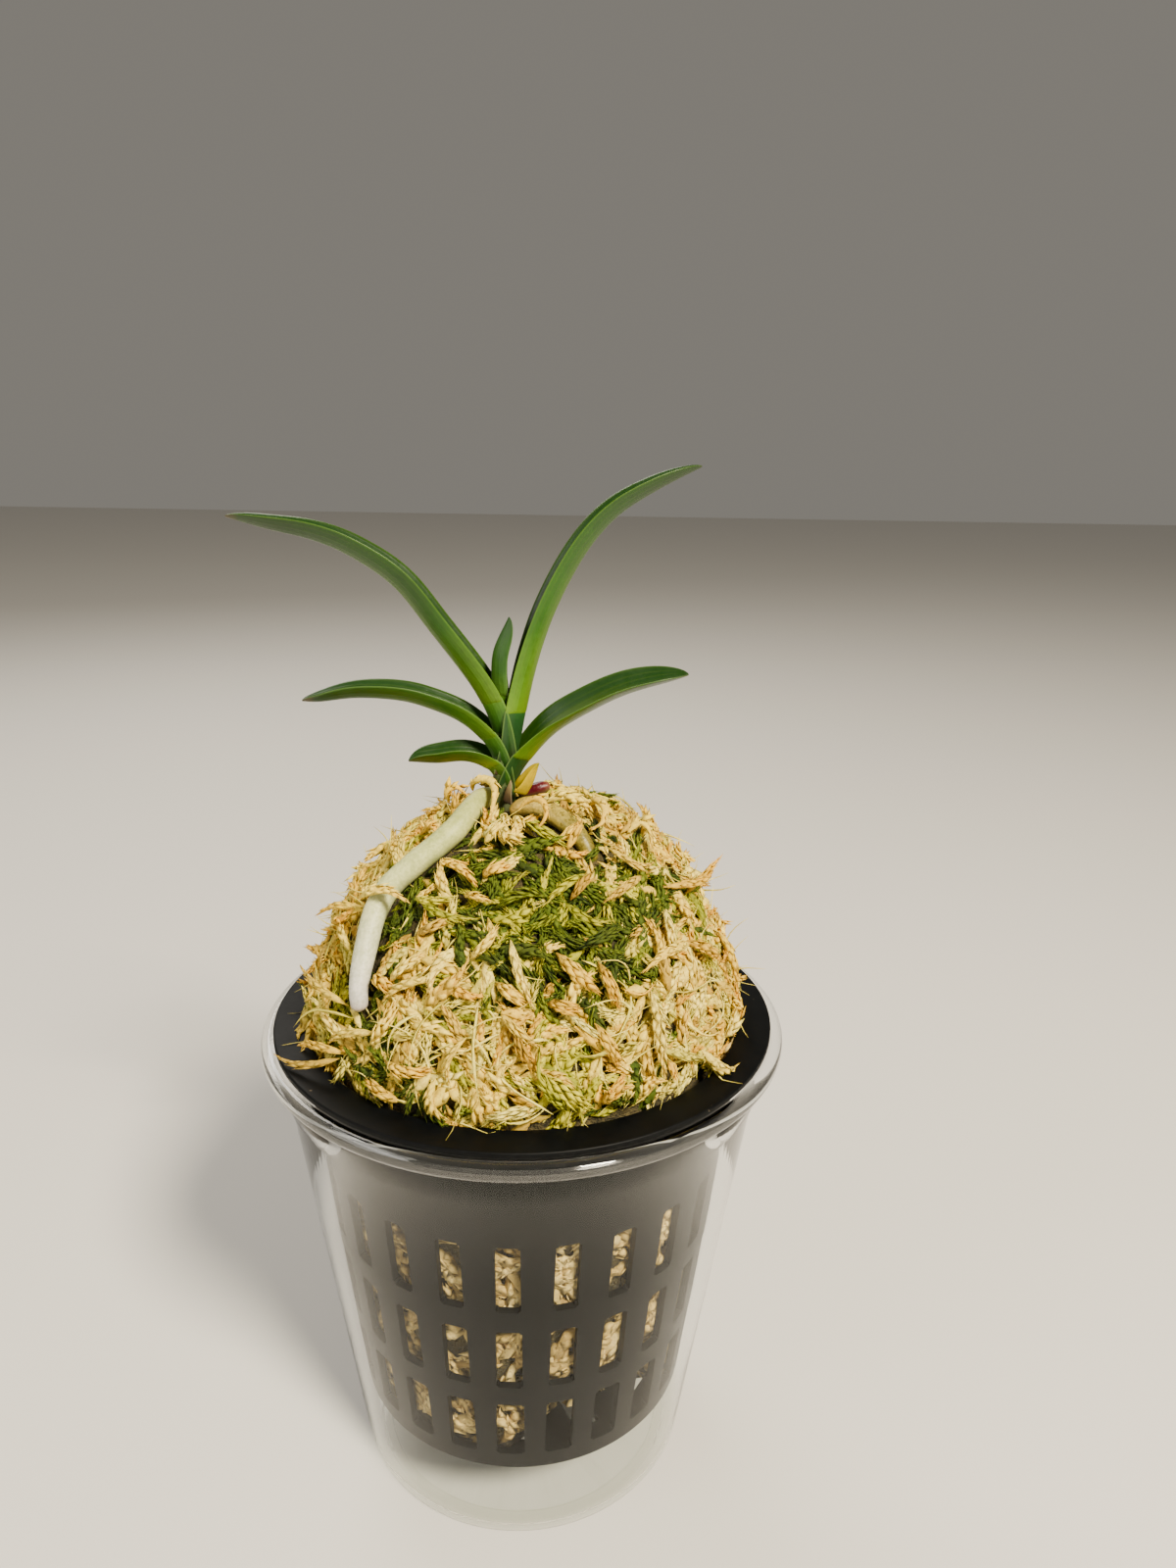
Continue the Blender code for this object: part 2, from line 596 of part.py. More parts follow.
def build_moss_core():
    floor = POT_BOTTOM + POT_WALL + GAP
    crown = [heap_point(k / (2 * len(HEAP_PROFILE) - 2), 0.0, HEAP_INSET)[0]
             for k in range(2 * len(HEAP_PROFILE) - 1)]
    profile = [(0.0, crown[0].z)] + [(p.x - HEAP_LEAN * 0.5, p.z) for p in crown[2:]]
    profile.append((moss_inner_radius(MOSS_NECK_HEIGHT), MOSS_NECK_HEIGHT))
    for k in range(MOSS_FILL_RINGS):
        height = MOSS_NECK_HEIGHT + (floor - MOSS_NECK_HEIGHT) * (k + 1) / MOSS_FILL_RINGS
        profile.append((moss_inner_radius(height), height))
    profile.append((0.0, floor))
    core = bake(turned("moss_mound", profile, HEAP_STEPS))
    low, high = HEAP_PROFILE[-1][1] * MM, HEAP_PROFILE[0][1] * MM
    for vert in core.data.vertices:
        spot = vert.co
        radius = math.hypot(spot.x, spot.y)
        turn = math.atan2(spot.y, spot.x)
        lump = noise.noise(spot / LUMP_SIZE)
        if spot.z > MOSS_NECK_HEIGHT + MM:
            outward = Vector((spot.x, spot.y, max(spot.z - low, 0.0))).normalized()
            lean = HEAP_LEAN * max(0.0, (spot.z - low) / (high - low))
            vert.co = spot + outward * lump * LUMP_HEIGHT + Vector((lean, 0.0, 0.0))
        elif radius > MM:
            inward = LUMP_HEIGHT * 0.5 * (1.0 - lump) * (spot.z < POT_FLANGE_BOTTOM - 2 * MM)
            apart = math.remainder(turn - MOSS_HOLLOW_TURN, TURN)
            reach = max(0.0, 1.0 - (apart / MOSS_HOLLOW_SPREAD) ** 2)
            depth = max(0.0, 1.0 - (spot.z - floor) / (MOSS_HOLLOW_HEIGHT - floor))
            inward += MOSS_HOLLOW_DEPTH * reach * min(1.0, 2.0 * depth)
            vert.co = spot - Vector((math.cos(turn), math.sin(turn), 0.0)) * inward
    return core


def strand_solid(place, outward, draw, length, thickness, lift, grow):
    # One moss strand: a bent three-sided spindle that lies on the heap with its tip lifted.
    across = outward.cross(Vector((0.0, 0.0, 1.0)))
    if across.length < 0.05:
        across = Vector((1.0, 0.0, 0.0))
    across.normalize()
    down = across.cross(outward).normalized()
    heading = draw[0] * TURN
    along = (across * math.cos(heading) + down * math.sin(heading)).normalized()
    beside = outward.cross(along)
    bow = (draw[1] - 0.5) * STRAND_BOW * length
    rings = []
    spots = []
    for share, girth in zip(STRAND_SHARES, STRAND_GIRTHS):
        run = (share - 0.5) * length
        height = STRAND_RISE * math.sin(math.pi * min(share * 1.25, 1.0)) - STRAND_SINK
        height += lift * share ** 3 - run * run / (2 * STRAND_CURVE)
        side = bow * (1.0 - (2 * share - 1) ** 2)
        spots.append((place + along * run + beside * side + outward * height, girth))
    shape = bmesh.new()
    for k, (spot, girth) in enumerate(spots):
        if girth == 0.0:
            rings.append([shape.verts.new(spot + along * (grow if k else -grow))])
            continue
        ring = []
        for corner in range(3):
            turn = TURN * (corner / 3 + 0.25)
            size = thickness * girth + 2.0 * grow
            offset = beside * math.cos(turn) * size * 1.15 + outward * math.sin(turn) * size * 0.8
            ring.append(shape.verts.new(spot + offset))
        rings.append(ring)
    for low, high in zip(rings, rings[1:]):
        for corner in range(3):
            after = (corner + 1) % 3
            if len(low) == 1:
                shape.faces.new((low[0], high[corner], high[after]))
            elif len(high) == 1:
                shape.faces.new((low[corner], low[after], high[0]))
            else:
                shape.faces.new((low[corner], low[after], high[after]))
                shape.faces.new((low[corner], high[after], high[corner]))
    bmesh.ops.recalc_face_normals(shape, faces=shape.faces[:])
    return from_shape("strand", shape, "cutters")


def in_patch(x, y, scale=1.0):
    across = x - PATCH_CENTRE[0]
    away = y - PATCH_CENTRE[1] - PATCH_SLANT * across
    return math.hypot(across / PATCH_HALF_LENGTH, away / PATCH_HALF_WIDTH) < scale


def strands(count, seed, keep, length, thickness, grow=0.0):
    # Strands spread evenly over the heap, of which those stay whose foot passes the test.
    generator = random.Random(seed)
    areas = heap_share_by_area()
    made = []
    for k in range(count):
        target = (k + 0.5) / count
        j = next(i for i in range(len(areas) - 1) if areas[i + 1] >= target)
        share = (j + (target - areas[j]) / (areas[j + 1] - areas[j])) / (len(areas) - 1)
        turn = k * GOLDEN_TURN
        draw = [generator.random() for _ in range(5)]
        place, outward = heap_point(min(share, STRAND_REACH), turn, STRAND_INSET)
        if not keep(place):
            continue
        lift = STRAY_LIFT if draw[4] > 1.0 - STRAY_SHARE else STRAND_LIFT
        made.append(strand_solid(place, outward, draw, length * (0.75 + 0.5 * draw[2]),
                                 thickness * (0.8 + 0.45 * draw[3]), lift * draw[2], grow))
    return made


def patch_solid(grow):
    # The bed of the green moss: a thin curved lens let into the heap.
    def surface(x, y):
        low, high = 0.0, 1.0
        turn = math.atan2(y, x)
        for _ in range(24):
            middle = (low + high) / 2
            place, _facing = heap_point(middle, turn)
            if math.hypot(place.x, place.y) < math.hypot(x, y):
                low = middle
            else:
                high = middle
        return heap_point(low, turn)

    shape = bmesh.new()
    tops, bottoms = [], []
    for ring in range(PATCH_RINGS + 1):
        share = ring / PATCH_RINGS
        edge = 1.0 - share ** 3 * 0.6
        top_row, bottom_row = [], []
        for step in range(PATCH_STEPS if ring else 1):
            turn = TURN * step / PATCH_STEPS
            ragged = 1.0 + PATCH_RAGGEDNESS * (math.sin(3 * turn + 1.0) + 0.7 * math.sin(7 * turn))
            across = (PATCH_HALF_LENGTH * ragged + grow) * share * math.cos(turn)
            away = (PATCH_HALF_WIDTH * ragged + grow) * share * math.sin(turn)
            x, y = PATCH_CENTRE[0] + across, PATCH_CENTRE[1] + away + PATCH_SLANT * across
            place, outward = surface(x, y)
            rise = 0.1 * MM * edge + grow
            top_row.append(shape.verts.new(place + outward * rise))
            bottom_row.append(shape.verts.new(place - outward * (PATCH_THICKNESS * edge + grow)))
        tops.append(top_row)
        bottoms.append(bottom_row)
    for rows in (tops, bottoms):
        for inner, outer in zip(rows, rows[1:]):
            for step in range(PATCH_STEPS):
                after = (step + 1) % PATCH_STEPS
                if len(inner) == 1:
                    shape.faces.new((inner[0], outer[step], outer[after]))
                else:
                    shape.faces.new((inner[step], outer[step], outer[after]))
                    shape.faces.new((inner[step], outer[after], inner[after]))
    for step in range(PATCH_STEPS):
        after = (step + 1) % PATCH_STEPS
        shape.faces.new((tops[-1][step], tops[-1][after], bottoms[-1][after]))
        shape.faces.new((tops[-1][step], bottoms[-1][after], bottoms[-1][step]))
    bmesh.ops.recalc_face_normals(shape, faces=shape.faces[:])
    return from_shape("green_moss", shape, "wind_orchid" if grow == 0.0 else "cutters")


def pot_clearance():
    # The space that the flange and mouth of the net pot need, so that strands stay off them.
    top = POT_FLANGE_BOTTOM + POT_FLANGE_THICKNESS + GAP
    inner = moss_inner_radius(POT_FLANGE_BOTTOM) + 0.05 * MM
    outer = POT_FLANGE_RADIUS + 3 * MM
    low = POT_FLANGE_BOTTOM - 4 * MM
    profile = [(inner, low), (inner, top), (outer, top), (outer, low), (inner, low)]
    ring = bake(turned("clearance", profile, POT_STEPS, "cutters"))
    shape = bmesh.new()
    shape.from_mesh(ring.data)
    bmesh.ops.remove_doubles(shape, verts=shape.verts[:], dist=MERGE)
    bmesh.ops.recalc_face_normals(shape, faces=shape.faces[:])
    shape.to_mesh(ring.data)
    shape.free()
    return ring


def root_solid(name, grow=0.0):
    group = "wind_orchid" if grow == 0.0 else "cutters"
    points = ROOTS[name]
    return tube(name if grow == 0.0 else "clearance", points, ROOT_STEPS, grow, group)


def green_strands(grow=0.0):
    return strands(GREEN_STRAND_COUNT, GREEN_SEED, lambda p: in_patch(p.x, p.y, GREEN_SPREAD),
                   GREEN_STRAND_LENGTH, GREEN_STRAND_THICKNESS, grow)


def build_plant():
    build_stem()
    dress(bpy.data.objects["stem"])
    done = []
    for name in LEAVES:
        blade = build_blade(name)
        combine(blade, [build_stem(GAP)], "DIFFERENCE")
        dress(drop_scraps(blade))
    for name in ROOTS:
        root = root_solid(name)
        combine(root, [build_stem(GAP)] + [root_solid(other, GAP) for other in done], "DIFFERENCE")
        dress(drop_scraps(root))
        done.append(name)


def plant_clearances():
    cutters = [build_stem(GAP)]
    cutters += [build_blade(name, GAP) for name in LOW_LEAVES]
    cutters += [root_solid(name, GAP) for name in ROOTS]
    return cutters


def build_moss():
    green = patch_solid(0.0)
    combine(green, green_strands(), "UNION", "MANIFOLD")
    combine(green, plant_clearances(), "DIFFERENCE")
    dress(drop_scraps(green))
    moss = build_moss_core()
    outside = strands(STRAND_COUNT, STRAND_SEED, lambda p: not in_patch(p.x, p.y, DRY_LIMIT),
                      STRAND_LENGTH, STRAND_THICKNESS)
    combine(moss, outside, "UNION", "MANIFOLD")
    combine(moss, [patch_solid(GAP)] + green_strands(GAP) + [pot_clearance()], "DIFFERENCE", "MANIFOLD")
    combine(moss, plant_clearances(), "DIFFERENCE", "MANIFOLD")
    dress(drop_scraps(moss))


def main():
    clear_scene()
    build_cup()
    build_pot()
    build_plant()
    build_moss()


main()
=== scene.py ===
import json
import math
import random

import bmesh
import bpy
import numpy as np
from mathutils import Matrix, Vector, noise

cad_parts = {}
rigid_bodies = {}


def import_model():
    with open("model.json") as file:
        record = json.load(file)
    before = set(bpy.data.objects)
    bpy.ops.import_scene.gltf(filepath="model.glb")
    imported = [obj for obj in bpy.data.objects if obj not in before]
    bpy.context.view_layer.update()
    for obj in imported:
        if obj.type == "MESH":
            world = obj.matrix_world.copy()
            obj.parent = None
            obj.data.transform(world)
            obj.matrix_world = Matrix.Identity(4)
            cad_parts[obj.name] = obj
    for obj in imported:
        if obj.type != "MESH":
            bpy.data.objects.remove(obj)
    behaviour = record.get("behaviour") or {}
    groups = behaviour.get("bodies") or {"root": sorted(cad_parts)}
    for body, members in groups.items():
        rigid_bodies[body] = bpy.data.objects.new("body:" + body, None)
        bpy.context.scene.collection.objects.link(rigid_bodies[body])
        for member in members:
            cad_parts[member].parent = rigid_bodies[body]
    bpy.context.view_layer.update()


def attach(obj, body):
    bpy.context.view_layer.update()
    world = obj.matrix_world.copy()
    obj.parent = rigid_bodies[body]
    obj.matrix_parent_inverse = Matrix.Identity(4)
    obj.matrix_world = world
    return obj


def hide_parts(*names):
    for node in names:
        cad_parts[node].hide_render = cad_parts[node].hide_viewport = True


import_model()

mm = 0.001
fullTurn = 2.0 * math.pi
goldenTurn = math.pi * (3.0 - math.sqrt(5.0))
sameSpot = 0.001 * mm  # points nearer than this are joined


# small helpers for meshes

def newPiece(name, verts, faces):
    mesh = bpy.data.meshes.new(name)
    mesh.from_pydata([tuple(vert) for vert in verts], [], faces)
    mesh.update()
    mesh.shade_smooth()
    piece = bpy.data.objects.new(name, mesh)
    bpy.context.scene.collection.objects.link(piece)
    return piece


def ringFaces(rings, count):
    # quads between closed rings of points that follow one another
    faces = []
    for low in range(0, (rings - 1) * count, count):
        for k in range(count):
            j = (k + 1) % count
            faces.append((low + k, low + j, low + count + j, low + count + k))
    return faces


def bakeModifiers(piece):
    graph = bpy.context.evaluated_depsgraph_get()
    mesh = bpy.data.meshes.new_from_object(piece.evaluated_get(graph))
    piece.modifiers.clear()
    piece.data = mesh
    mesh.name = piece.name
    return piece


def faceOutward(piece, join=0.0):
    # turns every face outward, after joining points that nearly touch
    shape = bmesh.new()
    shape.from_mesh(piece.data)
    if join:
        bmesh.ops.remove_doubles(shape, verts=shape.verts[:], dist=join)
    bmesh.ops.recalc_face_normals(shape, faces=shape.faces[:])
    shape.to_mesh(piece.data)
    shape.free()
    return piece


def subdivided(piece):
    soften = piece.modifiers.new("soften", "SUBSURF")
    soften.levels = 1
    soften.render_levels = 1
    return bakeModifiers(piece)


def finishPiece(piece, material, slotName, *nodes):
    piece.data.materials.clear()
    piece.data.materials.append(material)
    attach(piece, "root")
    if nodes:
        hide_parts(*nodes)
    return piece


def pointAttribute(mesh, name, values):
    layer = mesh.attributes.get(name) or mesh.attributes.new(name, "FLOAT", "POINT")
    layer.data.foreach_set("value", np.asarray(values, np.float32))


def meshPoints(mesh):
    points = np.zeros(len(mesh.vertices) * 3, np.float32)
    mesh.vertices.foreach_get("co", points)
    return points.reshape(-1, 3).astype(float)


def setMeshPoints(mesh, points):
    mesh.vertices.foreach_set("co", np.asarray(points, np.float32).ravel())
    mesh.update()


def inMetres(points):
    return [tuple(value * mm for value in point) for point in points]


def smoothRoute(points, count):
    # evenly spaced points on a smooth curve through the given ones
    size, fineSteps = len(points[0]), 400

    def at(position):
        k = min(int(position), len(points) - 2)
        t = position - k
        a, b, c, d = (points[min(max(k + j, 0), len(points) - 1)] for j in (-1, 0, 1, 2))
        return [0.5 * (2 * b[i] + (c[i] - a[i]) * t + (2 * a[i] - 5 * b[i] + 4 * c[i] - d[i]) * t * t
                       + (3 * b[i] - a[i] - 3 * c[i] + d[i]) * t ** 3) for i in range(size)]

    fine = np.array([at((len(points) - 1) * k / fineSteps) for k in range(fineSteps + 1)])
    steps = np.linalg.norm(np.diff(fine[:, :3], axis=0), axis=1)
    lengths = np.concatenate([[0.0], np.cumsum(steps)])
    targets = np.linspace(0.0, lengths[-1], count)
    return np.stack([np.interp(targets, lengths, fine[:, i]) for i in range(size)], 1)


# small helpers for materials

def feed(tree, item, values):
    # each input takes another node's output, a colour or a plain value
    for key, value in values.items():
        socket = item.inputs[key]
        if isinstance(value, bpy.types.NodeSocket):
            tree.links.new(value, socket)
        elif socket.type == "RGBA":
            socket.default_value = (*value, 1.0)
        else:
            socket.default_value = value


def put(tree, kind, inputs=None, **settings):
    item = tree.nodes.new(kind)
    for key, value in settings.items():
        setattr(item, key, value)
    feed(tree, item, inputs or {})
    return item


def newMaterial(name, plain):
    material = bpy.data.materials.new(name)
    material.use_nodes = True
    tree = material.node_tree
    shader = tree.nodes["Principled BSDF"]
    feed(tree, shader, plain)
    return material, tree, shader


def ramp(tree, factor, stops):
    item = put(tree, "ShaderNodeValToRGB", {"Fac": factor})
    elements = item.color_ramp.elements
    while len(elements) < len(stops):
        elements.new(0.5)
    for element, (place, colour) in zip(elements, stops):
        element.position = place
        element.color = (*colour, 1.0)
    return item.outputs["Color"]


def mixColour(tree, factor, first, second, blend="MIX"):
    inputs = {0: factor, 6: first, 7: second}
    return put(tree, "ShaderNodeMix", inputs, data_type="RGBA", blend_type=blend).outputs[2]


def calculate(tree, operation, first, second=0.0):
    return put(tree, "ShaderNodeMath", {0: first, 1: second}, operation=operation).outputs[0]


def remap(tree, value, low, high, toLow=0.0, toHigh=1.0):
    inputs = {"Value": value, "From Min": low, "From Max": high, "To Min": toLow, "To Max": toHigh}
    return put(tree, "ShaderNodeMapRange", inputs).outputs["Result"]


def attribute(tree, name):
    return put(tree, "ShaderNodeAttribute", attribute_name=name).outputs["Fac"]


def objectPlace(tree):
    return put(tree, "ShaderNodeTexCoord").outputs["Object"]


def cloud(tree, place, scale, detail):
    return put(tree, "ShaderNodeTexNoise", {"Vector": place, "Scale": scale, "Detail": detail}).outputs["Fac"]


def addBump(tree, shader, height, strength, distance):
    bump = put(tree, "ShaderNodeBump", {"Height": height, "Strength": strength, "Distance": distance})
    tree.links.new(bump.outputs["Normal"], shader.inputs["Normal"])


def newGroup(name, inputs, outputs):
    tree = bpy.data.node_groups.new(name, "ShaderNodeTree")
    for label, kind, value in inputs:
        socket = tree.interface.new_socket(name=label, in_out="INPUT", socket_type="NodeSocket" + kind)
        if value is not None:
            socket.default_value = value
    for label, kind in outputs:
        tree.interface.new_socket(name=label, in_out="OUTPUT", socket_type="NodeSocket" + kind)
    return tree, tree.nodes.new("NodeGroupInput").outputs, tree.nodes.new("NodeGroupOutput")


def flecksGroup():
    # soft blotches with finer flecks in them, as a tint and as a height
    tree, given, result = newGroup("flecks", [
        ("Place", "Vector", None), ("Size", "Float", 300.0), ("Fineness", "Float", 6.0),
        ("Low", "Color", (0.5, 0.5, 0.5, 1.0)), ("High", "Color", (1.0, 1.0, 1.0, 1.0))],
        [("Color", "Color"), ("Height", "Float")])
    coarse = put(tree, "ShaderNodeTexNoise", {
        "Vector": given["Place"], "Scale": given["Size"], "Detail": 3.0, "Roughness": 0.6})
    fine = put(tree, "ShaderNodeTexNoise", {
        "Vector": given["Place"], "Scale": calculate(tree, "MULTIPLY", given["Size"], given["Fineness"]),
        "Detail": 2.0, "Roughness": 0.7})
    both = calculate(tree, "ADD", coarse.outputs["Fac"], fine.outputs["Fac"])
    spread = remap(tree, calculate(tree, "MULTIPLY", both, 0.5), 0.36, 0.64)
    feed(tree, result, {"Color": mixColour(tree, spread, given["Low"], given["High"]), "Height": spread})
    return tree


flecks = flecksGroup()


def useFlecks(tree, size, low, high, fineness=6.0):
    inputs = {"Place": objectPlace(tree), "Size": size, "Fineness": fineness, "Low": low, "High": high}
    item = put(tree, "ShaderNodeGroup", inputs, node_tree=flecks)
    return item.outputs["Color"], item.outputs["Height"]


# the photograph's viewpoint, found from the rim, flange, base and slots: metres, degrees and pixels

view = {
    "place": (0.0, -0.1816, 0.1904), "pitch": 17.27, "yaw": 3.44, "roll": 1.14,
    "focal": 1110.0, "tall": 1600.0, "sensor": 36.0, "nearest": 0.01,
}


def makeCamera():
    pitch, yaw, roll = (math.radians(view[key]) for key in ("pitch", "yaw", "roll"))
    ahead = Vector((math.sin(yaw) * math.cos(pitch), math.cos(yaw) * math.cos(pitch), -math.sin(pitch)))
    right = ahead.cross(Vector((0, 0, 1))).normalized()
    up = right.cross(ahead)
    turned = (right * math.cos(roll) + up * math.sin(roll), up * math.cos(roll) - right * math.sin(roll))
    lens = bpy.data.cameras.new("camera")
    lens.sensor_fit = "VERTICAL"
    lens.sensor_height = view["sensor"]
    lens.lens = view["focal"] / view["tall"] * view["sensor"]
    lens.clip_start = view["nearest"]
    camera = bpy.data.objects.new("camera", lens)
    camera.matrix_world = Matrix((turned[0], turned[1], -ahead)).transposed().to_4x4()
    camera.location = view["place"]
    bpy.context.scene.collection.objects.link(camera)
    bpy.context.scene.camera = camera


# plain floor and soft studio light, in metres and watts

studio = {
    "floor": (0.70, 0.68, 0.64), "floorReach": 3.0, "world": (0.80, 0.75, 0.66), "worldStrength": 0.27,
    "lamps": [
        {"name": "key", "place": (0.35, -0.55, 0.75), "aim": (0, 0, 0.1), "size": 0.2, "power": 25.0,
         "tint": (1.0, 0.88, 0.68)},
        {"name": "fill", "place": (-0.75, -0.35, 0.45), "aim": (0, 0, 0.1), "size": 0.6, "power": 3.2,
         "tint": (1.0, 0.96, 0.89)},
        {"name": "back", "place": (-0.25, 0.6, 0.7), "aim": (0, 0, 0.12), "size": 0.5, "power": 4.5,
         "tint": (1.0, 0.94, 0.84)},
    ],
}


def makeLamp(spec):
    lamp = bpy.data.lights.new(spec["name"], "AREA")
    lamp.energy = spec["power"]
    lamp.color = spec["tint"]
    lamp.shape = "DISK"
    lamp.size = spec["size"]
    holder = bpy.data.objects.new(spec["name"], lamp)
    holder.location = spec["place"]
    holder.rotation_euler = (Vector(spec["aim"]) - Vector(spec["place"])).to_track_quat("-Z", "Y").to_euler()
    bpy.context.scene.collection.objects.link(holder)


def makeStudio():
    reach = studio["floorReach"]
    corners = [(-reach, -reach, 0), (reach, -reach, 0), (reach, reach, 0), (-reach, reach, 0)]
    floor = newPiece("studioFloor", corners, [(0, 1, 2, 3)])
    material = newMaterial("studioFloor", {"Base Color": studio["floor"], "Roughness": 0.75})[0]
    floor.data.materials.append(material)
    for spec in studio["lamps"]:
        makeLamp(spec)
    world = bpy.data.worlds.new("studio")
    world.use_nodes = True
    sky = world.node_tree.nodes["Background"]
    feed(world.node_tree, sky, {"Color": studio["world"], "Strength": studio["worldStrength"]})
    bpy.context.scene.world = world
    print("camera and studio made")


# turned pieces: the clear cup and the net pot, in millimetres

def roundCorner(centre, radius, start, end, count):
    angles = np.radians(np.linspace(start, end, count + 1))
    return [(centre[0] + radius * math.cos(a), centre[1] + radius * math.sin(a)) for a in angles]


def turnedPiece(name, profile, steps):
    # the profile starts and ends on the axis, up the inner side and down the outer side
    verts, faces, rings = [], [], []
    for radius, height in inMetres(profile):
        around = steps if radius > sameSpot else 1
        rings.append(list(range(len(verts), len(verts) + around)))
        for k in range(around):
            turn = fullTurn * k / steps
            verts.append((radius * math.cos(turn), radius * math.sin(turn), height))
    for low, high in zip(rings, rings[1:]):
        for k in range(steps):
            j = (k + 1) % steps
            if len(low) == 1:
                faces.append((low[0], high[k], high[j]))
            elif len(high) == 1:
                faces.append((low[k], high[0], low[j]))
            else:
                faces.append((low[k], high[k], high[j], low[j]))
    piece = faceOutward(newPiece(name, verts, faces), sameSpot)
    piece.data.set_sharp_from_angle(angle=math.radians(50))
    return piece


cup = {
    "height": 90.0, "rimRadius": 47.46, "bead": 1.5, "footRadius": 32.0, "taper": 0.14, "wall": 0.55,
    "floor": 1.2, "heel": 1.6, "ledgeHeight": 80.0, "ledgeWidth": 0.7, "grooveInner": 27.5,
    "grooveOuter": 29.5, "groove": 0.7, "slope": 0.3, "bands": (20.0, 40.0, 60.0), "steps": 160,
    "wallTint": (0.97, 0.98, 0.975), "footTintAndShade": (0.84, 0.85, 0.80), "shadowTint": (0.93, 0.94, 0.93),
    "tintedTo": 7.0, "rimGloss": 0.9, "footGloss": 0.7,
}


def cupSide(height):
    return cup["footRadius"] + cup["taper"] * height


def cupProfile():
    wall, heel, bead, slope, ledge = (cup[key] for key in ("wall", "heel", "bead", "slope", "ledgeHeight"))
    beadX, beadZ = cup["rimRadius"] - bead, cup["height"] - bead
    ledgeX, ledgeTop = cupSide(ledge) + cup["ledgeWidth"], ledge + cup["ledgeWidth"]
    heelX = cupSide(heel) - heel
    profile = [(0.0, cup["floor"]), (cup["grooveInner"], cup["floor"])]
    profile += roundCorner((heelX - wall, cup["floor"] + heel), heel, -90, 0, 6)
    profile += [(cupSide(z) - wall, z) for z in cup["bands"]]
    profile += [(cupSide(ledge) - wall, ledge - slope), (ledgeX - wall, ledgeTop)]
    profile += roundCorner((beadX, beadZ), bead, 180, -150, 22)
    profile += [(beadX - bead + 0.9 * wall, beadZ - bead), (ledgeX, ledgeTop)]
    profile += [(cupSide(ledge), ledge - slope)]
    profile += [(cupSide(z), z) for z in reversed(cup["bands"])]
    profile += roundCorner((heelX, heel), heel, 0, -90, 6)
    profile += [(cup["grooveOuter"], 0.0), (cup["grooveOuter"] - slope, cup["groove"])]
    profile += [(cup["grooveInner"] + slope, cup["groove"]), (cup["grooveInner"], 0.0), (0.0, 0.0)]
    return profile


def clearPlastic():
    material, tree, shader = newMaterial("clearPlastic", {
        "IOR": 1.14, "Transmission Weight": 1.0, "Specular IOR Level": 0.35, "Coat Roughness": 0.06})
    place = objectPlace(tree)
    stretched = put(tree, "ShaderNodeMapping", {"Vector": place, "Scale": (1.0, 1.0, 0.25)}).outputs["Vector"]
    height = put(tree, "ShaderNodeSeparateXYZ", {"Vector": place}).outputs["Z"]
    onRim = remap(tree, height, (cup["height"] - 4.0) * mm, (cup["height"] - 2.5) * mm, 0.0, cup["rimGloss"])
    onFoot = remap(tree, height, 5.0 * mm, 2.0 * mm, 0.0, cup["footGloss"])
    # the foot is tinted darker grey-olive towards the bottom: partly the thicker plastic there, partly a
    # painted shade band on the heel
    thick = remap(tree, height, cup["tintedTo"] * mm, 0.5 * mm)
    feed(tree, shader, {
        "Base Color": mixColour(tree, thick, cup["wallTint"], cup["footTintAndShade"]),
        "Roughness": remap(tree, cloud(tree, stretched, 60.0, 2.0), 0.5, 0.8, 0.0, 0.05),
        "Coat Weight": calculate(tree, "MAXIMUM", onRim, onFoot)})
    addBump(tree, shader, cloud(tree, place, 45.0, 1.0), 0.05, 0.3 * mm)
    # shadow and bounced light pass straight through, so the net pot inside stays lit
    path = put(tree, "ShaderNodeLightPath").outputs
    light = calculate(tree, "MAXIMUM", path["Is Shadow Ray"], path["Is Diffuse Ray"])
    clear = put(tree, "ShaderNodeBsdfTransparent", {"Color": cup["shadowTint"]})
    mix = put(tree, "ShaderNodeMixShader", {0: light, 1: shader.outputs["BSDF"], 2: clear.outputs["BSDF"]})
    tree.links.new(mix.outputs[0], tree.nodes["Material Output"].inputs["Surface"])
    return material


def makeCup():
    finishPiece(turnedPiece("clearCup", cupProfile(), cup["steps"]), clearPlastic(), "clear_cup", "outer_cup")
    print("clear cup made")


netPot = {
    "flangeRadius": 45.2, "flangeBottom": 90.1, "flange": 1.0, "topRadius": 40.5, "bottomRadius": 31.9,
    "bottom": 15.6, "wall": 1.4, "round": 0.35, "bevel": 0.1, "step": 0.5, "columns": 24, "turn": -94.2,
    "steps": 144, "rows": [(54.0, 68.3, 4.2), (36.3, 49.5, 4.5), (19.5, 32.1, 4.9)],
    "bands": (34.2, 51.7, 75.0), "floorSlots": 12, "floorSlot": (11.0, 27.0, 4.6), "slotCorner": 0.4,
    "dark": (0.001, 0.0013, 0.0016), "light": (0.003, 0.0036, 0.0042), "dust": (0.16, 0.13, 0.09),
}


def potSide(height):
    share = (height - netPot["bottom"]) / (netPot["flangeBottom"] - netPot["bottom"])
    return netPot["bottomRadius"] + (netPot["topRadius"] - netPot["bottomRadius"]) * share


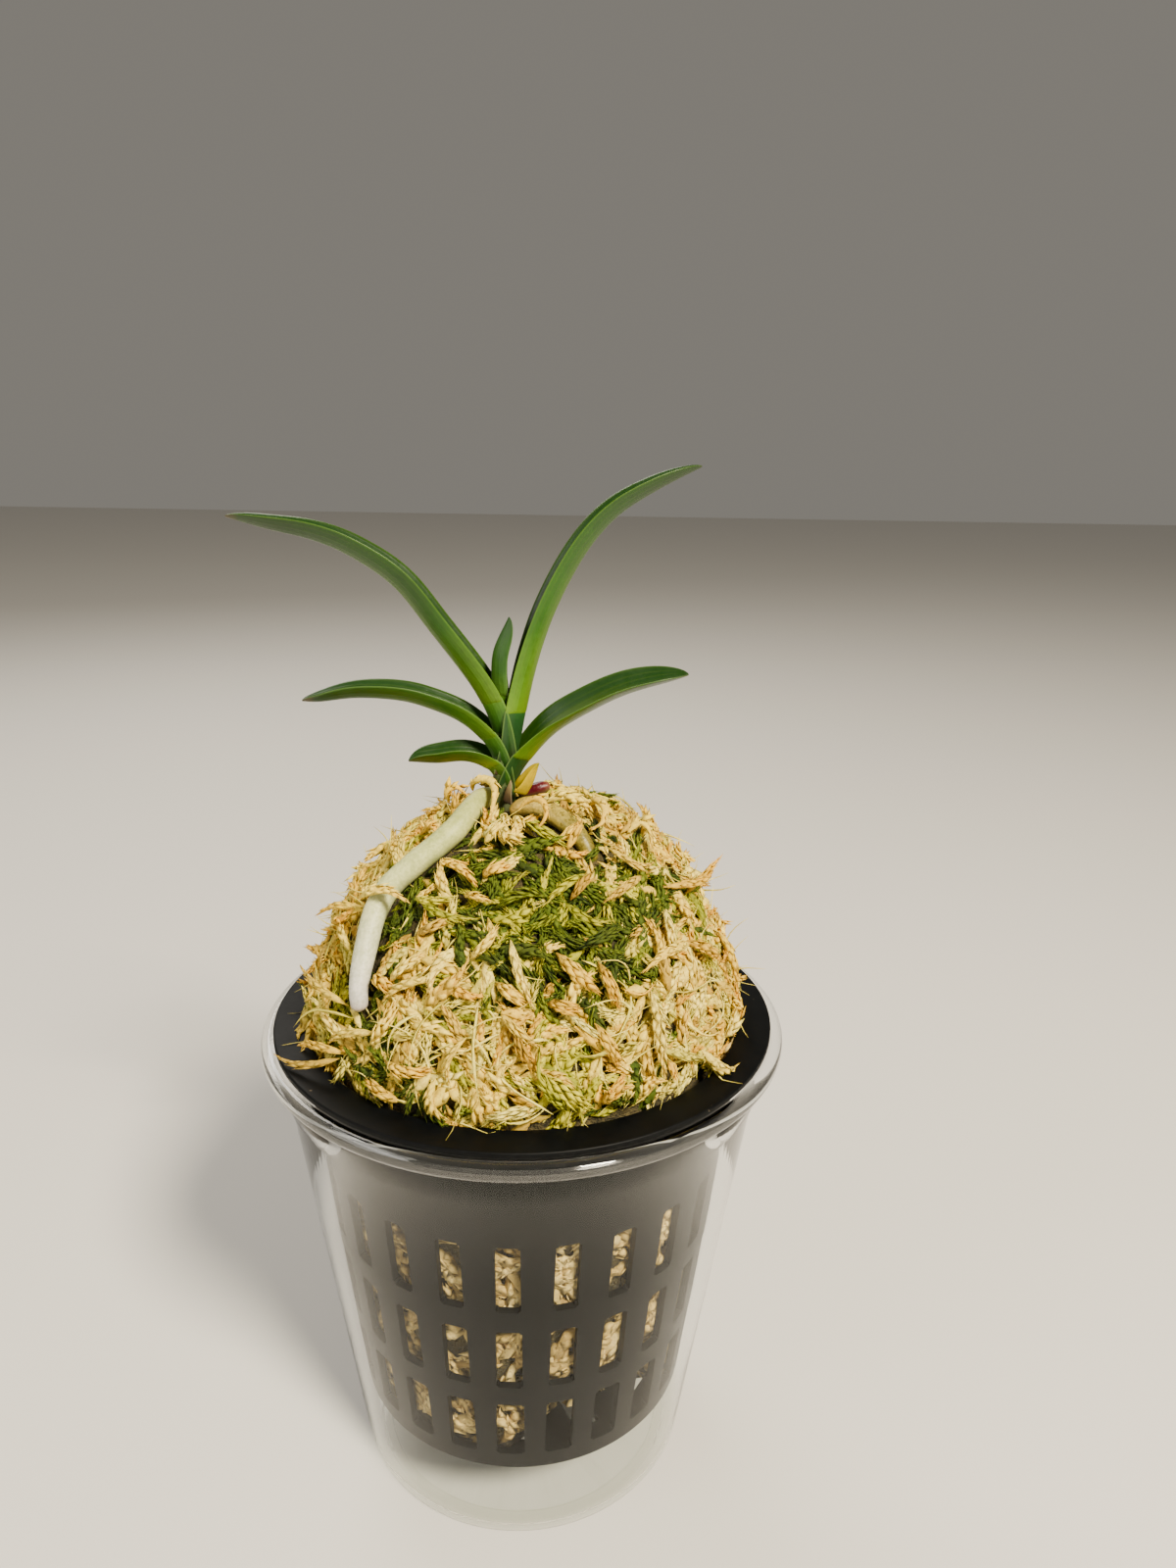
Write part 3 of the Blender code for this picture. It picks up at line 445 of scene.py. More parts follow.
def potProfile():
    low, bottom, wall, r = (netPot[key] for key in ("flangeBottom", "bottom", "wall", "round"))
    top, floor, flangeX = low + netPot["flange"], bottom + wall, netPot["flangeRadius"]
    profile = [(0.0, floor), (potSide(floor) - wall - r, floor), (potSide(floor) - wall, floor + r)]
    profile += [(potSide(z) - wall, z) for z in netPot["bands"]]
    profile += roundCorner((potSide(top) - wall + r, top - r), r, 180, 90, 4)
    profile += roundCorner((flangeX - r, top - r), r, 90, 0, 4)
    profile += [(flangeX, low + netPot["bevel"]), (flangeX - netPot["bevel"], low)]
    profile += [(potSide(low) + netPot["step"], low), (potSide(low - netPot["step"]), low - netPot["step"])]
    profile += [(potSide(z), z) for z in reversed(netPot["bands"])]
    profile += roundCorner((potSide(bottom) - 2 * r, bottom + 2 * r), 2 * r, 5, -90, 4)
    return profile + [(0.0, bottom)]


def addSlot(joined, size, place, turn):
    # a bar with rounded edges that lies along a radius
    shape = bmesh.new()
    bmesh.ops.create_cube(shape, size=1.0)
    for vert in shape.verts:
        vert.co = Vector([vert.co[axis] * size[axis] * mm for axis in range(3)])
    half = size[0] * mm * 0.5
    along = [edge for edge in shape.edges if abs((edge.verts[0].co - edge.verts[1].co).x) > half]
    bmesh.ops.bevel(shape, geom=along, offset=netPot["slotCorner"] * mm, segments=3, affect="EDGES")
    bmesh.ops.translate(shape, verts=shape.verts[:], vec=Vector(place) * mm)
    bmesh.ops.rotate(shape, verts=shape.verts[:], matrix=Matrix.Rotation(turn, 3, "Z"))
    mesh = bpy.data.meshes.new("slot")
    shape.to_mesh(mesh)
    shape.free()
    joined.from_mesh(mesh)
    bpy.data.meshes.remove(mesh)


def slotCutters():
    wall, turn = netPot["wall"], math.radians(netPot["turn"])
    joined = bmesh.new()
    for column in range(netPot["columns"]):
        around = turn + fullTurn * column / netPot["columns"]
        for bottom, top, width in netPot["rows"]:
            middle = (bottom + top) / 2
            place = (potSide(middle) - wall / 2, 0, middle)
            addSlot(joined, (5 * wall, width, top - bottom), place, around)
    inner, outer, width = netPot["floorSlot"]
    place = ((inner + outer) / 2, 0, netPot["bottom"] + wall / 2)
    for spoke in range(netPot["floorSlots"]):
        around = turn + fullTurn * spoke / netPot["floorSlots"]
        addSlot(joined, (outer - inner, width, 4 * wall), place, around)
    mesh = bpy.data.meshes.new("slotCutters")
    joined.to_mesh(mesh)
    joined.free()
    cutters = bpy.data.objects.new("slotCutters", mesh)
    bpy.context.scene.collection.objects.link(cutters)
    return cutters


def blackPlastic():
    material, tree, shader = newMaterial("blackPlastic", {"IOR": 1.4, "Specular IOR Level": 0.14})
    colour, height = useFlecks(tree, 260.0, netPot["dark"], netPot["light"])
    specks = remap(tree, cloud(tree, objectPlace(tree), 700.0, 1.0), 0.80, 0.85)
    feed(tree, shader, {
        "Base Color": mixColour(tree, specks, colour, netPot["dust"]),
        "Roughness": remap(tree, height, 0.0, 1.0, 0.46, 0.54)})
    return material


def makeNetPot():
    piece = turnedPiece("blackNetPot", potProfile(), netPot["steps"])
    cutters = slotCutters()
    cut = piece.modifiers.new("slots", "BOOLEAN")
    cut.operation = "DIFFERENCE"
    cut.object = cutters
    cut.solver = "EXACT"
    bakeModifiers(piece)
    bpy.data.objects.remove(cutters, do_unlink=True)
    piece.data.shade_smooth()
    piece.data.set_sharp_from_angle(angle=math.radians(35))
    finishPiece(piece, blackPlastic(), "black_plastic", "net_pot")
    print("net pot made")


# leaves and their sheaths: sections along the keel, two halves that rise from it, in millimetres

foldBend = math.radians(34.0)
halfSteps = 6
# how far a blade starts inside its sheath and the sheath passes the joint, its sections, thickness and swell
wrapping = {"inside": 0.25, "past": 0.9, "sections": 16, "thick": 0.5, "swell": -0.07}
leaves = {
    "leafLongLeft": dict(
        node="leaf_long_left", side=1, joint=2, half=5.1, foot=0.72, fold=(60, 44), roll=0, thick=0.75,
        keel=[(-4.4, 0, 137), (-5.6, 0, 142.5), (-7.4, 0, 147.5), (-10.2, 0, 152.3), (-15.9, -0.3, 160),
              (-21.7, -0.7, 167.6), (-28.4, -1.2, 172.4), (-34.3, -1.6, 175), (-41.6, -2.1, 176.8),
              (-47.4, -2.6, 178.6)]),
    "leafLongRight": dict(
        node="leaf_long_right", side=-1, joint=2, half=4.8, foot=0.75, fold=(60, 46), roll=4, thick=0.75,
        keel=[(-2.6, 0, 135), (-0.9, 0, 140.5), (0.2, 0, 146.3), (2.2, 0.3, 155.2), (5.2, 0.8, 164),
              (9.9, 1.4, 173), (14.9, 2, 179), (21.1, 2.6, 183.2), (28.9, 3.2, 187.4)]),
    "leafMidLeft": dict(
        node="leaf_mid_left", side=1, joint=2, half=4.5, foot=0.82, fold=(54, 42), roll=0, thick=0.75,
        keel=[(-4.7, 0, 133), (-5.6, 0, 137.6), (-7.5, 0, 141.4), (-11.3, -0.4, 144.9), (-16.3, -1, 147.3),
              (-21.2, -1.6, 148.8), (-28.1, -2.4, 149.4), (-34, -3, 148.9), (-37, -3.3, 149.1)]),
    "leafMidRight": dict(
        node="leaf_mid_right", side=-1, joint=2, half=4.9, foot=0.75, fold=(54, 40), roll=16, thick=0.75,
        keel=[(-2.9, 0, 131), (-1.1, 0, 134.6), (0.7, 0, 137.7), (5.3, -0.6, 143.2), (11.4, -1.3, 147.3),
              (17.4, -1.9, 150.4), (24.9, -2.6, 152.9), (27.4, -2.9, 153.9)]),
    "leafLowLeft": dict(
        node="leaf_low_left", side=1, joint=2, half=4.4, foot=0.8, fold=(52, 46), roll=4, thick=0.75,
        keel=[(-4.5, 0, 130.5), (-5.2, 0, 133.7), (-6.6, 0, 136.3), (-10.2, -0.6, 138), (-15.1, -1.2, 137.8),
              (-20, -1.8, 138.3)]),
    "leafNew": dict(
        node="leaf_new", finish="leafYoung", side=1, joint=1, half=3.3, foot=0.8,
        fold=(70, 66), roll=0, thick=0.7,
        keel=[(-4.6, 0, 141), (-5.6, 0, 149.4), (-6.0, 0, 153.2), (-5.5, 0.3, 157.7), (-2.9, 0.8, 162.9)]),
    "leafOld": dict(
        node="leaf_old", finish="leafYellow", slot="old_leaf", side=-1, joint=0, half=3.2, foot=1.0,
        taper=2.2, fold=(62, 58), roll=10, thick=0.6,
        keel=[(0.1, -2.4, 132.3), (1.5, -2.4, 134.9), (2.4, -2.4, 138.3)]),
    "drySheath": dict(
        node="sheath_dry", finish="sheathPapery", slot="dry_sheath", side=1, joint=0, half=1.9, foot=1.0,
        taper=1.6, fold=(62, 50), roll=0, thick=0.35,
        keel=[(-3.9, -3.3, 131.6), (-3.6, -3.4, 133.4), (-2.6, -3.4, 135.6)]),
}


def leafRoute(leaf):
    # the keel as close points, its length, and the share of it where the blade leaves its sheath
    steps = 240
    route = smoothRoute(inMetres(leaf["keel"]), steps)
    share = 0.0
    if leaf["joint"]:
        target = np.array(leaf["keel"][leaf["joint"]]) * mm
        share = float(np.argmin(np.linalg.norm(route - target, axis=1))) / (steps - 1)
    return route, float(np.linalg.norm(np.diff(route, axis=0), axis=1).sum()), share


def leafFrame(leaf, route, share, opened):
    # a point of the keel, the way the blade rises there, and the way it faces
    position = min(max(share, 0.0), 1.0) * (len(route) - 1)
    k = min(int(position), len(route) - 2)
    point = Vector(route[k]).lerp(Vector(route[k + 1]), position - k)
    tangent = (Vector(route[min(k + 4, len(route) - 1)]) - Vector(route[max(k - 3, 0)])).normalized()
    rise = (tangent.cross(Vector((0, -1, 0))) * leaf["side"]).normalized()
    facing = rise.cross(tangent).normalized() * leaf["side"]
    roll = math.radians(leaf["roll"]) * opened
    cosine, sine = math.cos(roll), math.sin(roll)
    return point, rise * cosine + facing * sine, facing * cosine - rise * sine


def leafSize(leaf, share, jointShare):
    # the share of the blade, then the fold, width and thickness of its two halves
    along = max(0.0, (share - jointShare) / (1.0 - jointShare))
    baseFold, tipFold = (math.radians(angle) for angle in leaf["fold"])
    fold = baseFold + (tipFold - baseFold) * along
    width = leaf["half"] * mm * max(1.0 - 0.985 * along ** leaf.get("taper", 5.0), 0.0) ** 0.6
    if share < jointShare:
        width *= leaf["foot"] + (1.0 - leaf["foot"]) * share / jointShare
        fold += math.radians(8.0) * (1.0 - share / jointShare)
    thick = leaf["thick"] * mm * (0.35 + 0.65 * min(1.0, (1.0 - along) * 8.0))
    return along, min(fold, math.atan2(0.75 * width, thick) - 0.25 * foldBend), width, thick


def leafSection(leaf, route, share, jointShare, sheath, swell):
    # one closed ring: the outer side from edge to edge, then back along the inner side
    point, rise, facing = leafFrame(leaf, route, share, min(1.0, max(0.0, share - jointShare) * 4.0))
    along, fold, width, thick = leafSize(leaf, share, jointShare)
    outer, inner = {}, {}
    for side in (1, -1):
        spot = point.copy()
        for step in range(1, halfSteps + 1):
            u = step / halfSteps
            angle = fold + foldBend * (u - 0.75) * (1.0 - 0.4 * along)
            direction = facing * side * math.cos(angle) + rise * math.sin(angle)
            inward = rise * math.cos(angle) - facing * side * math.sin(angle)
            spot = spot + direction * (width / halfSteps)
            depth = thick * (1.0 - 0.72 * u ** 2)
            outer[side * step] = spot - inward * swell
            inner[side * step] = spot + inward * (min(depth, wrapping["thick"] * mm) if sheath else depth)
    outer[0] = point - rise * swell
    inner[0] = point + rise * thick / max(math.cos(fold - foldBend * 0.75), 0.55)
    order = range(halfSteps, -halfSteps - 1, -1)
    across = [step / halfSteps for step in order]
    return [outer[step] for step in order] + [inner[step] for step in reversed(order)], across + across[::-1]


def leafMesh(name, leaf, first, last, sections, sheath, swell=0.0):
    route, _length, jointShare = leafRoute(leaf)
    verts, across, alongs, insides = [], [], [], []
    for k in range(sections):
        step = k / (sections - 1)
        share = first + (last - first) * (step if sheath else 1.0 - (1.0 - step) ** 1.5)
        ring, spread = leafSection(leaf, route, share, jointShare, sheath, swell)
        verts += ring
        across += spread
        alongs += [(share - first) / (last - first)] * len(ring)
        insides += [0.0] * (len(ring) // 2) + [1.0] * (len(ring) // 2)
    count = len(ring)
    faces = ringFaces(sections, count)
    for base in (0, (sections - 1) * count):
        for j in range(count // 2 - 1):
            faces.append((base + j, base + j + 1, base + count - 2 - j, base + count - 1 - j))
    piece = newPiece(name, verts, faces)
    pointAttribute(piece.data, "across", across)
    pointAttribute(piece.data, "along", alongs)
    pointAttribute(piece.data, "inside", insides)
    return faceOutward(piece)


def veinGroup():
    # long veins that run with the blade, the line of the keel, and the margin
    tree, given, result = newGroup("veins", [("Across", "Float", 0.0), ("Count", "Float", 26.0)],
                                   [("Veins", "Float"), ("Keel", "Float"), ("Margin", "Float")])
    width = calculate(tree, "ABSOLUTE", given["Across"])
    wave = calculate(tree, "SINE", calculate(tree, "MULTIPLY", given["Across"], given["Count"]))
    feed(tree, result, {
        "Veins": remap(tree, wave, 0.2, 1.0), "Keel": remap(tree, width, 0.55, 0.0),
        "Margin": remap(tree, width, 0.93, 1.0)})
    return tree


# colours from the base to the tip, then at the margin, along the keel and on the upper side, which is darker:
# partly its own colour, partly painted shade inside the fold
leafFinishes = {
    "leafGreen": {
        "stops": [(0.0, (0.095, 0.20, 0.003)), (0.10, (0.058, 0.15, 0.003)), (0.28, (0.021, 0.085, 0.002)),
                  (0.65, (0.012, 0.056, 0.002)), (0.96, (0.010, 0.04, 0.002)), (1.0, (0.05, 0.04, 0.008))],
        "margin": (0.08, 0.16, 0.012), "keel": (0.10, 0.16, 0.002), "upperShaded": (0.005, 0.026, 0.002),
        "rough": 0.33},
    "leafYoung": {
        "stops": [(0.0, (0.07, 0.16, 0.015)), (0.35, (0.024, 0.08, 0.010)), (1.0, (0.013, 0.045, 0.007))],
        "margin": (0.09, 0.17, 0.03), "keel": (0.05, 0.13, 0.012), "upperShaded": (0.014, 0.06, 0.006),
        "rough": 0.42},
    "leafYellow": {
        "stops": [(0.0, (0.28, 0.23, 0.01)), (0.22, (0.42, 0.31, 0.0)), (0.85, (0.43, 0.31, 0.0)),
                  (1.0, (0.2, 0.2, 0.0))],
        "margin": (0.45, 0.35, 0.0), "keel": (0.38, 0.28, 0.0), "upperShaded": (0.33, 0.24, 0.0), "rough": 0.6,
        "gloss": 0.02},
    "sheathPapery": {
        "stops": [(0.0, (0.025, 0.016, 0.009)), (0.4, (0.08, 0.052, 0.024)), (1.0, (0.26, 0.20, 0.09))],
        "margin": (0.5, 0.42, 0.26), "keel": (0.06, 0.035, 0.02), "upperShaded": (0.06, 0.035, 0.02), "rough": 0.7,
        "gloss": 0.2},
    "sheathLeft": {
        "stops": [(0.0, (0.04, 0.04, 0.014)), (0.3, (0.018, 0.065, 0.010)), (0.7, (0.035, 0.12, 0.010)),
                  (1.0, (0.075, 0.20, 0.008))],
        "margin": (0.17, 0.28, 0.06), "keel": (0.04, 0.11, 0.01), "upperShaded": (0.015, 0.045, 0.008),
        "rough": 0.42},
    "sheathRight": {
        "stops": [(0.0, (0.045, 0.035, 0.016)), (0.3, (0.014, 0.045, 0.010)), (0.8, (0.011, 0.052, 0.010)),
                  (1.0, (0.013, 0.066, 0.010))],
        "margin": (0.17, 0.28, 0.06), "keel": (0.022, 0.07, 0.012), "upperShaded": (0.012, 0.038, 0.01),
        "rough": 0.42},
}


def leafMaterial(name, veins):
    finish = leafFinishes[name]
    rough, gloss = finish["rough"], finish.get("gloss", 0.35)
    material, tree, shader = newMaterial(name, {
        "IOR": 1.45, "Specular IOR Level": gloss, "Coat Weight": 0.2 * gloss, "Coat Roughness": 0.2,
        "Subsurface Weight": 0.05, "Subsurface Radius": (0.002, 0.003, 0.001)})
    along = attribute(tree, "along")
    lines = put(tree, "ShaderNodeGroup", {"Across": attribute(tree, "across")}, node_tree=veins).outputs
    blotch, height = useFlecks(tree, 120.0, (0.82, 0.82, 0.82), (1.12, 1.12, 1.12), 9.0)
    wander = remap(tree, cloud(tree, objectPlace(tree), 90.0, 2.0), 0.3, 0.7, -0.05, 0.05)
    colour = ramp(tree, calculate(tree, "ADD", along, wander), finish["stops"])
    colour = mixColour(tree, 1.0, colour, blotch, "MULTIPLY")
    nearKeel = remap(tree, along, 0.75, 0.1, 0.0, 0.7)
    # the upper side is darkened: partly its own colour, partly painted shade inside the fold
    for share, weight, tint in ((attribute(tree, "inside"), 0.9, "upperShaded"), (lines["Veins"], 0.06, "keel"),
                                (lines["Keel"], nearKeel, "keel"), (lines["Margin"], 0.35, "margin")):
        colour = mixColour(tree, calculate(tree, "MULTIPLY", share, weight), colour, finish[tint])
    feed(tree, shader, {
        "Base Color": colour, "Roughness": remap(tree, height, 0.0, 1.0, rough - 0.05, rough + 0.1)})
    addBump(tree, shader, calculate(tree, "ADD", lines["Veins"], height), 0.2, 0.08 * mm)
    return material


def makeLeaves():
    veins = veinGroup()
    finishes = {name: leafMaterial(name, veins) for name in leafFinishes}
    for name, leaf in leaves.items():
        _route, length, jointShare = leafRoute(leaf)
        first = jointShare - wrapping["inside"] * mm / length if leaf["joint"] else 0.0
        sections = max(14, int(length * (1 - first) / mm * 0.9))
        blade = subdivided(leafMesh(name, leaf, first, 1.0, sections, False))
        finishPiece(blade, finishes[leaf.get("finish", "leafGreen")], leaf.get("slot", "leaf"), leaf["node"])
    wraps = [name for name in leaves if leaves[name]["joint"]]
    for order, name in enumerate(wraps):
        leaf = leaves[name]
        _route, length, jointShare = leafRoute(leaf)
        last = jointShare + wrapping["past"] * mm / length
        swell = wrapping["swell"] * mm
        wrap = leafMesh("sheath" + name[4:], leaf, 0.0, last, wrapping["sections"], True, swell)
        finish = finishes["sheathLeft" if leaf["side"] > 0 else "sheathRight"]
        finishPiece(subdivided(wrap), finish, "sheath", *(["stem"] if order == 0 else []))
    print("leaves and sheaths made")


# roots: tubes with a spongy skin, as points in millimetres with a radius at each

roots = {
    "silverRoot": dict(nodes=["root_left"], slot="root", finish="rootSilver", rings=90, points=[
        (-5.2, 0.8, 131.0, 1.7), (-7.4, -2.2, 131.9, 2.0), (-9.6, -6.8, 130.9, 2.15),
        (-12.4, -10.9, 128.5, 2.2), (-18.2, -13.6, 124.2, 2.2), (-22.3, -15.2, 120.7, 2.15),
        (-24.4, -17.5, 117.2, 2.1), (-25.3, -20.2, 113.8, 2.0), (-26.0, -22.7, 110.4, 1.85),
        (-26.4, -24.8, 107.2, 1.65), (-26.2, -25.6, 103.8, 1.45)]),
    "paleRoot": dict(nodes=["root_right"], slot="root", finish="rootPale", rings=40, points=[
        (-2.2, -4.9, 129.6, 1.4), (-0.6, -5.6, 131.4, 1.7), (1.8, -6.2, 131.8, 1.85),
        (4.6, -7.9, 131.0, 1.85), (7.4, -10.2, 129.6, 1.75), (9.6, -12.6, 127.6, 1.6),
        (11.2, -14.2, 124.4, 1.3)]),
    "rubyTip": dict(nodes=["root_tip"], slot="root_tip", finish="rootRuby", rings=40, points=[
        (-1.4, 1.6, 131.6, 1.0), (0.8, 1.7, 132.0, 1.25), (2.6, 1.8, 132.5, 1.3), (4.3, 1.9, 133.0, 0.75)]),
    "stemCore": dict(nodes=[], slot="sheath", finish="stemGreen", rings=40, points=[
        (-3.8, 0, 126.0, 2.0), (-3.8, 0, 129.0, 2.3), (-3.8, 0, 133.0, 2.1), (-3.9, 0, 140.0, 1.6),
        (-4.1, 0, 146.0, 1.0)]),
}
rootSides = 20

# colours from the hidden end to the tip, and the pale and dark flecks over them
rootFinishes = {
    "rootSilver": {
        "stops": [(0.0, (0.36, 0.37, 0.11)), (0.35, (0.47, 0.50, 0.19)), (0.62, (0.56, 0.58, 0.29)),
                  (0.82, (0.62, 0.62, 0.46)), (0.95, (0.56, 0.53, 0.52)), (1.0, (0.36, 0.28, 0.25))],
        "pale": (1.15, 1.15, 1.12), "dark": (0.76, 0.80, 0.68), "rough": 0.4},
    "rootPale": {
        "stops": [(0.0, (0.30, 0.20, 0.04)), (0.3, (0.46, 0.36, 0.08)), (0.65, (0.27, 0.23, 0.045)),
                  (1.0, (0.14, 0.12, 0.015))],
        "pale": (1.35, 1.3, 1.1), "dark": (0.42, 0.40, 0.28), "rough": 0.33},
    "rootRuby": {
        "stops": [(0.0, (0.03, 0.001, 0.003)), (0.45, (0.05, 0.001, 0.004)), (0.8, (0.065, 0.002, 0.005)),
                  (1.0, (0.20, 0.07, 0.04))],
        "pale": (1.3, 1.3, 1.3), "dark": (0.7, 0.7, 0.7), "rough": 0.3},
    "stemGreen": {
        "stops": [(0.0, (0.05, 0.045, 0.02)), (0.4, (0.05, 0.08, 0.025)), (1.0, (0.08, 0.16, 0.04))],
        "pale": (1.1, 1.1, 1.1), "dark": (0.8, 0.8, 0.8), "rough": 0.5},
}
# painted shade: the dark olive that the downward-facing underside of every root and the stem is mixed towards
undersideShadeTint = (0.10, 0.11, 0.04)


def roundedEnd(steps):
    # how much of its radius a tube has this many rings from its end
    return math.sqrt(max(1.0 - max(0.0, 1.0 - steps / 3.0) ** 2, 0.0)) + 0.12


def tubePiece(name, points, rings, bumps):
    route = smoothRoute(inMetres(points), rings)
    centres = [Vector(row[:3]) for row in route]
    verts, alongs, upwards = [], [], []
    across = Vector((0, 1, 0))
    for k, centre in enumerate(centres):
        ahead = (centres[min(k + 1, rings - 1)] - centres[max(k - 1, 0)]).normalized()
        across = (across - ahead * across.dot(ahead)).normalized()
        beside = ahead.cross(across)
        radius = route[k][3] * min(1.0, roundedEnd(k), roundedEnd(rings - 1 - k))
        for j in range(rootSides):
            turn = fullTurn * j / rootSides
            way = across * math.cos(turn) + beside * math.sin(turn)
            rough = noise.noise((centre + way * radius) / (2.4 * mm)) * bumps
            verts.append(centre + way * (radius * (1.0 - bumps) + radius * rough))
            alongs.append(k / (rings - 1))
            upwards.append(way.z)
    faces = ringFaces(rings, rootSides)
    faces.append(tuple(range(rootSides)))
    faces.append(tuple(range((rings - 1) * rootSides, rings * rootSides)))
    piece = newPiece(name, verts, faces)
    pointAttribute(piece.data, "along", alongs)
    pointAttribute(piece.data, "upward", upwards)
    return subdivided(faceOutward(piece, sameSpot))


def rootMaterial(name):
    finish = rootFinishes[name]
    material, tree, shader = newMaterial(name, {
        "Specular IOR Level": 0.35, "Subsurface Weight": 0.05, "Subsurface Radius": (0.002, 0.002, 0.001)})
    colour = ramp(tree, attribute(tree, "along"), finish["stops"])
    tint, height = useFlecks(tree, 420.0, finish["dark"], finish["pale"], 4.0)
    colour = mixColour(tree, 1.0, colour, tint, "MULTIPLY")
    # painted shade: where the tube faces down it is darkened towards a dark olive
    belly = calculate(tree, "MULTIPLY", remap(tree, attribute(tree, "upward"), 0.1, -0.7), 0.55)
    feed(tree, shader, {
        "Base Color": mixColour(tree, belly, colour, undersideShadeTint),
        "Roughness": remap(tree, height, 0.0, 1.0, finish["rough"] - 0.1, finish["rough"] + 0.15)})
    addBump(tree, shader, height, 0.35, 0.12 * mm)
    return material


def makeRoots():
    for name, root in roots.items():
        piece = tubePiece(name, root["points"], root["rings"], 0.05)
        finishPiece(piece, rootMaterial(root["finish"]), root["slot"], *root["nodes"])
    print("roots made")


# moss: a heap whose surface is covered with scaly strands, in millimetres

heap = {
    "profile": [(0.0, 131.4), (6.0, 131.1), (12.0, 129.8), (18.0, 127.0), (24.0, 122.6), (29.0, 117.4),
                (33.0, 111.2), (36.2, 104.5), (38.1, 98.0), (38.8, 94.0), (38.5, 91.6)],
    "lean": 1.5, "leanFrom": 94.0, "lumps": [(6, 0.7), (2.2, 0.3)], "bedInset": 1.6, "bedAround": 120,
    # the bed's two colours are painted shade for the moss under the strands
    "bedRings": 40, "bedShadeDark": (0.015, 0.014, 0.004), "bedShadeLight": (0.10, 0.075, 0.02), "guideInset": 0.9,
    "guideAround": 130, "guideRings": 44,
}
# the moss inside the net pot, and the hollow low in it on one side
packing = {
    "top": 89.0, "levels": 26, "clear": 1.5, "floorClear": 0.35, "lump": 0.9, "lumpSize": 5.0,
    "hollowBearing": -62.0, "hollowWidth": 34.0, "hollowLow": 17.3, "hollowHigh": 36.0, "hollowDepth": 9.0,
    "coverLow": 20.0, "coverHigh": 87.0, "coverRings": 24, "coverAround": 90, "coverClear": 1.1,
    "strands": {"spacing": 2.6, "density": 160000, "size": (0.7, 1.1), "tilt": 0.15, "seed": 5},
    "kitSize": 8, "kitSeed": 61,
}


def heapPoint(share, turn, inset):
    # a place on the heap, from its crown to its foot, and the way it faces
    profile = heap["profile"]
    position = share * (len(profile) - 1)
    k = min(int(position), len(profile) - 2)
    (r0, z0), (r1, z1) = profile[k], profile[k + 1]
    part = position - k
    radius, height = r0 + (r1 - r0) * part, z0 + (z1 - z0) * part
    slope = Vector((z0 - z1, 0.0, r1 - r0)).normalized()
    outward = Vector((slope.x * math.cos(turn), slope.x * math.sin(turn), slope.z))
    lean = heap["lean"] * max(0.0, (height - heap["leanFrom"]) / (profile[0][1] - heap["leanFrom"]))
    place = Vector((radius * math.cos(turn) + lean, radius * math.sin(turn), height)) * mm
    return place - outward * inset * mm, outward


def heapAt(bearing, height):
    heights = [level for _radius, level in heap["profile"]][::-1]
    shares = np.linspace(1.0, 0.0, len(heights))
    return heapPoint(float(np.interp(height / mm, heights, shares)), bearing, 0.0)


def heapSurface(name, inset, rings, around):
    verts, faces = [heapPoint(0.0, 0.0, inset)[0]], []
    for ring in range(1, rings + 1):
        for k in range(around):
            place, outward = heapPoint(ring / rings, fullTurn * k / around, inset)
            lump = sum(noise.noise(place / (size * mm)) * share for size, share in heap["lumps"])
            verts.append(place + outward * lump * mm)
    for k in range(around):
        faces.append((0, 1 + k, 1 + (k + 1) % around))
    for low in range(1, 1 + (rings - 1) * around, around):
        for k in range(around):
            j = (k + 1) % around
            faces.append((low + k, low + around + k, low + around + j, low + j))
    return newPiece(name, verts, faces)


def hollowDepth(turn, level):
    apart = math.remainder(turn - math.radians(packing["hollowBearing"]), fullTurn)
    reach = max(0.0, 1.0 - (apart / math.radians(packing["hollowWidth"])) ** 2)
    drop = (level - packing["hollowLow"]) / (packing["hollowHigh"] - packing["hollowLow"])
    return packing["hollowDepth"] * reach * min(1.0, 2.0 * max(0.0, 1.0 - drop))


def packedPoint(turn, level):
    # a lumpy place on the moss a little inside the net pot's wall
    radius = potSide(level) - netPot["wall"] - packing["clear"] - hollowDepth(turn, level)
    spot = Vector((radius * math.cos(turn), radius * math.sin(turn), level))
    radius += noise.noise(spot / packing["lumpSize"]) * packing["lump"]
    return Vector((radius * math.cos(turn), radius * math.sin(turn), level)) * mm


def mossBed():
    # the packed moss under the strands, down to the floor of the net pot, coloured dark as painted shade in
    # the gaps between strands
    around = heap["bedAround"]
    piece = heapSurface("mossBed", heap["bedInset"], heap["bedRings"], around)
    shape = bmesh.new()
    shape.from_mesh(piece.data)
    shape.verts.ensure_lookup_table()
    last = shape.verts[-around:]
    floor = netPot["bottom"] + netPot["wall"] + packing["floorClear"]
    for level in np.linspace(packing["top"], floor, packing["levels"]):
        row = [shape.verts.new(packedPoint(fullTurn * k / around, level)) for k in range(around)]
        for k in range(around):
            j = (k + 1) % around
            shape.faces.new((last[k], row[k], row[j], last[j]))
        last = row
    shape.faces.new(last[::-1])
    bmesh.ops.recalc_face_normals(shape, faces=shape.faces[:])
    shape.to_mesh(piece.data)
    shape.free()
    piece.data.shade_smooth()
    material, tree, shader = newMaterial("mossBed", {"Roughness": 0.95})
    # painted shade: the bed is dark as the shade between the strands above it
    colour, height = useFlecks(tree, 350.0, heap["bedShadeDark"], heap["bedShadeLight"], 5.0)
    tree.links.new(colour, shader.inputs["Base Color"])
    addBump(tree, shader, height, 0.9, 0.8 * mm)
    finishPiece(piece, material, "dry_moss", "moss_mound")
